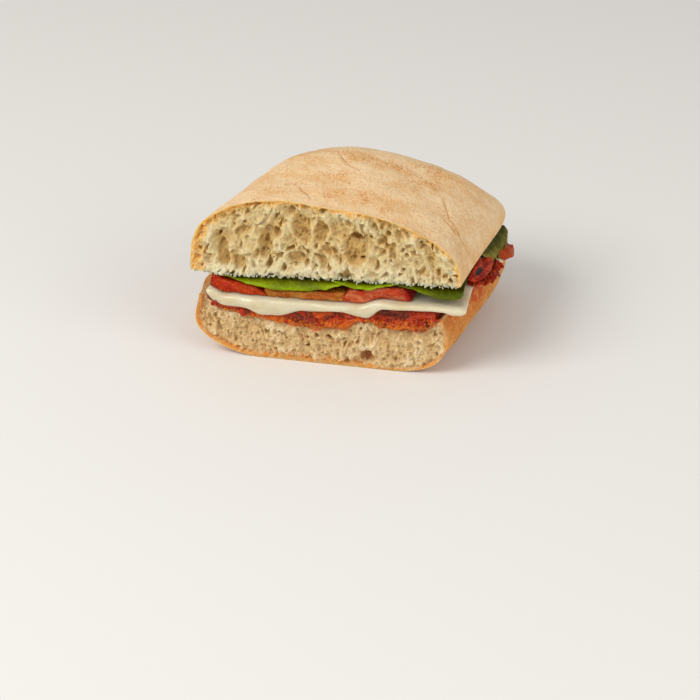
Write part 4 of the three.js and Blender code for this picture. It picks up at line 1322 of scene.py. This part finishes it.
def dried_tomato(centre, size, turn, droop, lumps):
    """A leathery flap: a flat ball with long folds pressed into it and a curled rim, drooping on its
    outer side. The fields say where it is charred, how orange it is and how deep the folds are."""
    out, along, up = np.moveaxis(signed_power(ball_grid(DRIED_ROWS, DRIED_COLUMNS), 0.8), -1, 0)
    folds = 1 - np.abs(unevenness(3.2 * out, 1.2 * along, 0.3 * up + centre[0], 1.3))
    folds = folds ** 2 + 0.2 * unevenness(7 * out, 4 * along, up, 1.3)
    swell = 1 + 0.05 * folds + 0.14 * unevenness(1.5 * out, 2 * along, turn, 1)
    thick = mix(0.75, 0.45, lumps) + mix(0.25, 0.5, lumps) * folds
    x, y, z = size[0] / 2 * out * swell, size[1] / 2 * along * swell, size[2] / 2 * up * thick
    curl = 0.8 * unevenness(2 * out, 2 * along, centre[1], 1)
    z = z - droop * np.maximum(0, out) ** 2 + curl + 0.5 * folds
    (spot_x, spot_y), (reach_x, reach_y) = CHAR_SPOT["place"], CHAR_SPOT["reach"]
    away = np.hypot((x - spot_x) / reach_x, (y - spot_y) / reach_y)
    px = centre[0] + x * math.cos(turn) - y * math.sin(turn)
    py = centre[1] + x * math.sin(turn) + y * math.cos(turn)
    points = np.stack([px, py, centre[2] + z], axis=-1)
    char = smooth(1.25, 0.7, away) if lumps < 0.7 else 0.8 * smooth(-0.2, -0.6, out)
    return [grid_faces(points, char=char, orange=smooth(0.6, 0.8, lumps), folds=folds)]


dried, tree, inputs = new_finish(
    "dried_tomato", Roughness=0.26, Specular_IOR_Level=0.15,
    Subsurface_Weight=0.2, Subsurface_Scale=0.0012, Subsurface_Radius=(1.0, 0.3, 0.1),
)
tone = effect(tree, mottle, size=0.0035, detail=4.0, low=0.4, high=0.62)
colour = blended(tree, tone, srgb(190, 52, 14), srgb(146, 26, 4))
colour = blended(tree, product(tree, field_of(tree, "orange"), 0.75), colour, srgb(176, 72, 14))
ridge = spread_value(tree, field_of(tree, "folds"), 0.85, 1.2, 0, 0.5)
colour = blended(tree, ridge, colour, srgb(212, 96, 36))
soot = effect(tree, mottle, size=0.0018, detail=4.0, low=0.24, high=0.42)
colour = blended(tree, product(tree, field_of(tree, "char"), soot), colour, srgb(52, 42, 48))
tree.links.new(colour, inputs["Base Color"])
normal = dent(tree, effect(tree, mottle, size=0.0016, detail=4.0, low=0.3, high=0.7), 0.8, 0.0005)
tree.links.new(normal, inputs["Normal"])
for name, chunk in DRIED_TOMATOES.items():
    new_piece(
        "oily_" + name, dried_tomato(**chunk), [dried], nodes=[name], sharp_angle=80,
    )

rng = np.random.default_rng(51)
stops = np.array(CHOPPED_BITS["line"], float)
at = rng.uniform(0, len(stops) - 1.001, CHOPPED_BITS["count"])
first = at.astype(int)
spots = mix(stops[first], stops[first + 1], (at - first)[:, None])
spots = spots + rng.normal(0, 0.5, spots.shape) * CHOPPED_BITS["scatter"]
parts = pebbles(rng, spots, CHOPPED_BITS["size"], CHOPPED_BITS["flat"])
for part in parts:
    part.fields["char"] = np.full(len(part.points), 0.45 * (rng.random() < 0.3))
    part.fields["orange"] = np.full(len(part.points), rng.random() ** 2)
new_piece("chopped_bits", parts, [dried])


# The upper bread: the domed lid of the roll, pale under its flour with tan freckles and a few cracks
# where the skin split. Its cut shows the most open crumb, with long holes and thin walls, and its
# sliced edge is ragged.
BREAD_TOP = dict(
    left=-52.8, right=50.8, depth=81, left_lean=0.32, right_lean=0.215, swell=(0, -2.8), height=30,
    plan_power=4.5, fall_power=1.9, square_left=(2.8, 2.55), square_right=(2.4, 1.55),
)
LID_SKEW = 0.14
LID_SKEW_GROWTH = 1.2
LID_BACK_LIFT = 0.04
LID_FACE_ROWS = 100
# Cracks in the crust, each as a line of x, y places seen from above.
LID_CRACKS = [
    [(-4.6, 45), (-0.8, 39), (2.4, 35.4), (5, 34.4)],
    [(-12.3, 12.4), (-10.4, 8.9), (-7.6, 6.2)],
    [(39.2, 32.5), (41, 26.4), (43.6, 22.7), (46.4, 20), (50, 17)],
    [(40.6, 21.4), (43, 19.6), (45.6, 17.8)],
]
# Clusters of freckles on the crust, each as x, y and reach.
LID_FRECKLES = [
    (-15, 42, 6), (-5, 46, 6), (4, 44, 7), (19, 45, 6), (-4, 9, 4), (5, 13, 4), (13, 13, 4), (12, 6, 3),
    (19, 6, 3), (-22, 14, 4), (-17, 17, 4), (31, 54, 7), (29, 41, 6), (0, 25, 6), (-14, 60, 7),
]
# The largest holes of the lid, in the same form as those of the lower bread.
LID_HOLES = [
    (-39.9, 43.1, 2.6, 6.4, 2, 5), (-33.9, 39.4, 2.7, 3.3, 0, 4), (-31.6, 37.2, 0.7, 2.2, -20, 4.5),
    (-38.6, 57.2, 2.6, 2, 20, 1.6), (-35.3, 54.9, 1.5, 1.8, 0, 2), (-32.6, 52.6, 3.6, 2.3, 12, 3),
    (-23.2, 49.2, 3.1, 7.6, -12, 4.4), (-23.2, 49.4, 1.5, 2.5, 0, 8), (-19.2, 53.4, 1.7, 2, -25, 7),
    (-22, 40.3, 1.4, 2.2, 0, 5), (-9.5, 55.8, 3.9, 6.4, 10, 5.6), (-2.2, 54.8, 3.2, 5.6, -14, 4.6),
    (-1.4, 55.8, 0.9, 1.9, -20, 7.5), (-3.1, 51.6, 1.1, 1.2, 20, 7), (0.6, 50.4, 1.2, 1, 0, 6.5),
    (-11, 43.6, 5.2, 3.6, -6, 3.6), (-9.7, 43.8, 2.2, 0.9, -28, 7), (-7.4, 41.6, 1.5, 1.1, 25, 6.5),
    (-18.1, 45, 1.9, 0.7, 24, 6), (-14.1, 47.4, 2.1, 0.75, 18, 6), (-8, 47.4, 1.9, 0.6, -50, 5.5),
    (-3.6, 45, 2.4, 0.6, -48, 5.5), (3.3, 47.7, 1.9, 0.9, -40, 6), (11.3, 49.3, 4.9, 7.6, 0, 4.6),
    (11.6, 53.6, 3.4, 1.9, -14, 8), (11.2, 48.3, 1.8, 1, -20, 7), (14.2, 48, 1.1, 1.8, -30, 7),
    (13.6, 44.8, 1.3, 0.8, 0, 7), (21.2, 60.2, 0.9, 2.2, 0, 2.6), (24.8, 51, 1.7, 2.9, 0, 3.4),
    (29, 50.8, 0.9, 1.5, 0, 3.4), (30.6, 49, 1, 1, 0, 3), (36.5, 52.9, 1.1, 1.4, 0, 4.4),
    (38, 55.4, 0.9, 0.8, 0, 3), (35.4, 47, 2.9, 3.6, 0, 2), (19.2, 43.8, 1, 2.4, 0, 3),
    (28.8, 43, 0.6, 0.9, 0, 4.5), (27.2, 41, 0.6, 0.8, 0, 4), (7.5, 38.4, 2.4, 1.9, 0, 3),
    (8.6, 60.4, 1.7, 0.9, 0, 1.8), (-27, 44, 1.5, 3.4, -16, 2.6), (42, 41.8, 1.6, 2.4, 10, 2),
    (-46.5, 46, 1.4, 1.1, 0, 1.5),
]
LID_BUBBLES = dict(
    count=3000, spread=[(-54, 53), (-0.7, 3.8), (33, 68)], radii=(0.34, 1.7), stretch=0.34,
    lean=[(-54, -15), (-24, -30), (-14, 30), (2, 34), (12, 0), (52, 14)], inside=0.8,
)
LID_BOWLS = dict(
    count=1100, spread=[(-51, 51), (-0.5, 0.7), (39, 67)], radii=(0.6, 2.4), stretch=0.3,
    lean=LID_BUBBLES["lean"],
)
LID_PORES = dict(count=13000, radii=(0.2, 0.55))
LID_DEEPEST = 4.6
LID_CRUST_BAND = (0.4, 1.5)
LID_TOAST = [(-53, 7), (-45, 5), (-36, 3.4), (-22, 2.8), (0, 2.4), (30, 2.2), (51, 1.6)]
LID_FRINGE = 1

lid_u = section_stops(BREAD_TOP, FACE_COLUMNS)
lid_along = depth_stops(BREAD_TOP, ROWS + 10)


def crack_places(x, y):
    """For each place its signed distance in plan to the line of the nearest crack, and how much it
    lies beside it rather than past its ends."""
    nearest, signed = np.full(x.shape, 1e3), np.zeros(x.shape)
    for crack in LID_CRACKS:
        for (ax, ay), (bx, by) in zip(crack, crack[1:]):
            length = math.hypot(bx - ax, by - ay)
            along = ((x - ax) * (bx - ax) + (y - ay) * (by - ay)) / length
            across = ((x - ax) * (by - ay) - (y - ay) * (bx - ax)) / length
            past = np.maximum(0, np.maximum(-along, along - length))
            away = np.hypot(across, past)
            signed = np.where(away < nearest, across, signed)
            nearest = np.minimum(nearest, away)
    return signed, smooth(1.4, 0.3, nearest - np.abs(signed)) * smooth(4, 2, nearest)


def lid_crust_points(u, along):
    """The baked dome: the sliced level plus the height times arch and fall, higher at the back and on
    the left. Bulges, dents and the cracks are raised or sunk along its normals."""
    p = half_loaf(BREAD_TOP, u, along)
    lean = 1 - LID_SKEW * p.side * (1 + LID_SKEW_GROWTH * p.along)
    rise = BREAD_TOP["height"] * (1 + LID_BACK_LIFT * p.along) * lean * p.arch * p.fall
    points = np.stack([p.x, p.y, lid_underside(p.x, p.y) + rise], axis=-1)
    x, y, z = np.moveaxis(points, -1, 0)
    relief = 0.8 * unevenness(x, y, z + 3, 21) + 0.34 * unevenness(x, y, z, 7)
    relief = relief + 0.12 * unevenness(x, y, z, 2.4)
    off_crack, cracked = crack_places(x + 0.7 * unevenness(x, y, 95, 3), y + 0.7 * unevenness(x, y, 96, 3))
    split = 0.35 * np.exp(-(off_crack / 0.7) ** 2)
    lip = 0.25 * np.exp(-((off_crack - 1.4) / 1) ** 2)
    relief = (relief - cracked * (split - lip)) * smooth(0, 0.35, p.arch * p.fall)
    return raised(points, outward(points, np.array([0, 43, 40])), relief), off_crack, cracked


def lid_under_points(u, along):
    """The sliced underside, with a torn fringe of crumb along the cut."""
    p = half_loaf(BREAD_TOP, u, along)
    level = lid_underside(p.x, p.y)
    torn = 0.5 * unevenness(p.x, p.y, 97, 1.5) + 0.75 * unevenness(p.x, 0.7 * p.y, 98, 0.65)
    torn = LID_FRINGE * (torn - 0.1) * np.exp(-p.y / 2.5) * smooth(-52, -46, p.x)
    torn = torn + 0.3 * unevenness(p.x, p.y, 99, 1.8)
    return np.stack([p.x, p.y, level + torn * np.minimum(1, 4 * p.arch * p.fall)], axis=-1)


crust_points, off_crack, cracked = lid_crust_points(lid_u[:, ::CRUST_SHARE], lid_along)
crust_edge = lid_crust_points(lid_u, lid_along[:2])[0]
under_points = lid_under_points(lid_u[:, ::CRUMB_SHARE], lid_along)
under_edge = lid_under_points(lid_u, lid_along[:2])
rng = np.random.default_rng(41)
holes = hole_rows(LID_HOLES, rng, **LID_BUBBLES) + hole_rows([], rng, **LID_BOWLS)
face_points, fields = cut_face(
    under_edge[0], crust_edge[0], crust_edge[0], LID_FACE_ROWS, rng, holes, LID_PORES,
    deepest=LID_DEEPEST, crust_band=LID_CRUST_BAND, lean=LID_BUBBLES["lean"],
)
face_x, face_z = face_points[..., 0], face_points[..., 2]
ragged = 1 + layered(face_x, face_z, (0.5, 1.6, 60), (0.3, 0.7, 65))
toasted = smooth(1.2, 0.4, fields["rind"] / level_along(LID_TOAST, face_x) / ragged)
above_slice = face_z - under_edge[0][None, :, 2]
face_points[..., 1] += 0.35 * unevenness(face_x, 66, 0.25 * face_z, 1) * smooth(7, 1, above_slice)
pale = smooth(12, 1, above_slice)
crust_x, crust_y, crust_z = np.moveaxis(crust_points, -1, 0)
bake = 0.25 + 0 * crust_x
for x, y, reach in LID_FRECKLES:
    bake = np.maximum(bake, np.exp(-(((crust_x - x) / 1.6) ** 2 + (crust_y - y) ** 2) / reach ** 2))
lid_crust = crust_finish(
    "lid_crust", flour=srgb(244, 216, 174), crust=srgb(226, 178, 118), tan=srgb(224, 162, 94),
    freckle=srgb(204, 132, 62), dusting=0.75, freckling=0.85, rim=srgb(228, 176, 108),
)
new_piece(
    "upper_bread",
    [
        grid_faces(
            crust_points[1:], 0, bake=bake[1:], off_crack=off_crack[1:], cracked=cracked[1:],
            side=0.5 * smooth(44, 37, crust_z[1:]),
        ),
        fan_faces(crust_points[1], crust_edge[0], 0, bake=0.3, off_crack=NO_CRACK),
        grid_faces(under_points[1:], 1),
        fan_faces(under_points[1], under_edge[0] * [1, 0, 1] + face_points[0] * [0, 1, 0], 1),
        grid_faces(face_points, 1, toasted=toasted, pale=pale, **fields),
    ],
    [lid_crust, crumb], nodes=["bread_top"], sharp_angle=55,
)


# Torn crumb: thin strands that the knife left across the widest holes of the lid's cut, and short
# tips that hang from its sliced edge. Both are the lid's own crumb, drawn out to round threads.
STRANDS = dict(count=18, thick=(0.14, 0.28), depth=(1.4, 2.8), sag=0.4, widest=2.2)
TORN_TIPS = dict(count=150, thick=(0.25, 0.55), length=(0.1, 0.7), margins=(34, 24))
THREAD_ROWS = 10
THREAD_COLUMNS = 8


def threads(starts, ends, thick, sag):
    """Thin strands of crumb as one grid each: straight ways less a sag of four times share times one
    less share, thinner in the middle and closed at both ends."""
    share = np.linspace(0, 1, THREAD_ROWS + 1)[:, None, None]
    turn = np.linspace(0, 2 * np.pi, THREAD_COLUMNS + 1)[None, :, None]
    parts = []
    for start, end, radius, low in zip(starts, ends, thick, sag):
        way = mix(start, end, share) - [0, 0, 1] * (4 * low * share * (1 - share))
        across = np.cross(end - start, [0.1, 1, 0.2])
        across /= np.linalg.norm(across)
        other = np.cross(end - start, across)
        other /= np.linalg.norm(other)
        around = across * np.cos(turn) + other * np.sin(turn)
        off_middle = np.abs(2 * share - 1)
        waist = (0.6 + 0.6 * off_middle ** 2) * np.sqrt(1 - off_middle ** 6)
        parts.append(grid_faces(way + around * radius * waist))
    return parts


rng = np.random.default_rng(61)
wide_holes = np.array([hole for hole in LID_HOLES if min(hole[2], hole[3]) > STRANDS["widest"]])
hole = wide_holes[rng.integers(0, len(wide_holes), STRANDS["count"])]
turn = rng.uniform(0, 2 * np.pi, STRANDS["count"])
starts, ends = (
    np.stack([hole[:, 0] + hole[:, 2] * np.cos(at), rng.uniform(*STRANDS["depth"], len(at)),
              hole[:, 1] + hole[:, 3] * np.sin(at)], axis=-1)
    for at in (turn, turn + rng.uniform(0.7, 2.2, len(turn)))
)
thick = rng.uniform(*STRANDS["thick"], len(hole))
parts = threads(starts, ends, thick, rng.normal(0, STRANDS["sag"], len(hole)))
# painted shade: the strands are given a hollow depth, so the crumb finish shades them like a hole
for part in parts:
    part.fields["hollow"] = np.full(len(part.points), 1.2)
tips = len(parts)
left_margin, right_margin = TORN_TIPS["margins"]
column = rng.integers(left_margin, FACE_COLUMNS - right_margin, TORN_TIPS["count"])
starts = under_edge[0][column] + [0, 0.3, 0.3]
fall = rng.uniform(*TORN_TIPS["length"], len(starts))
sideways = rng.normal(0, 0.35, len(fall))
ends = starts + np.stack([sideways, rng.uniform(-0.4, 0.3, len(fall)), -0.3 - fall], axis=-1)
parts += threads(starts, ends, rng.uniform(*TORN_TIPS["thick"], len(fall)), 0 * fall)
for part in parts[tips:]:
    part.fields["pale"] = np.full(len(part.points), 0.4)
new_piece("crumb_strands", parts, [crumb])
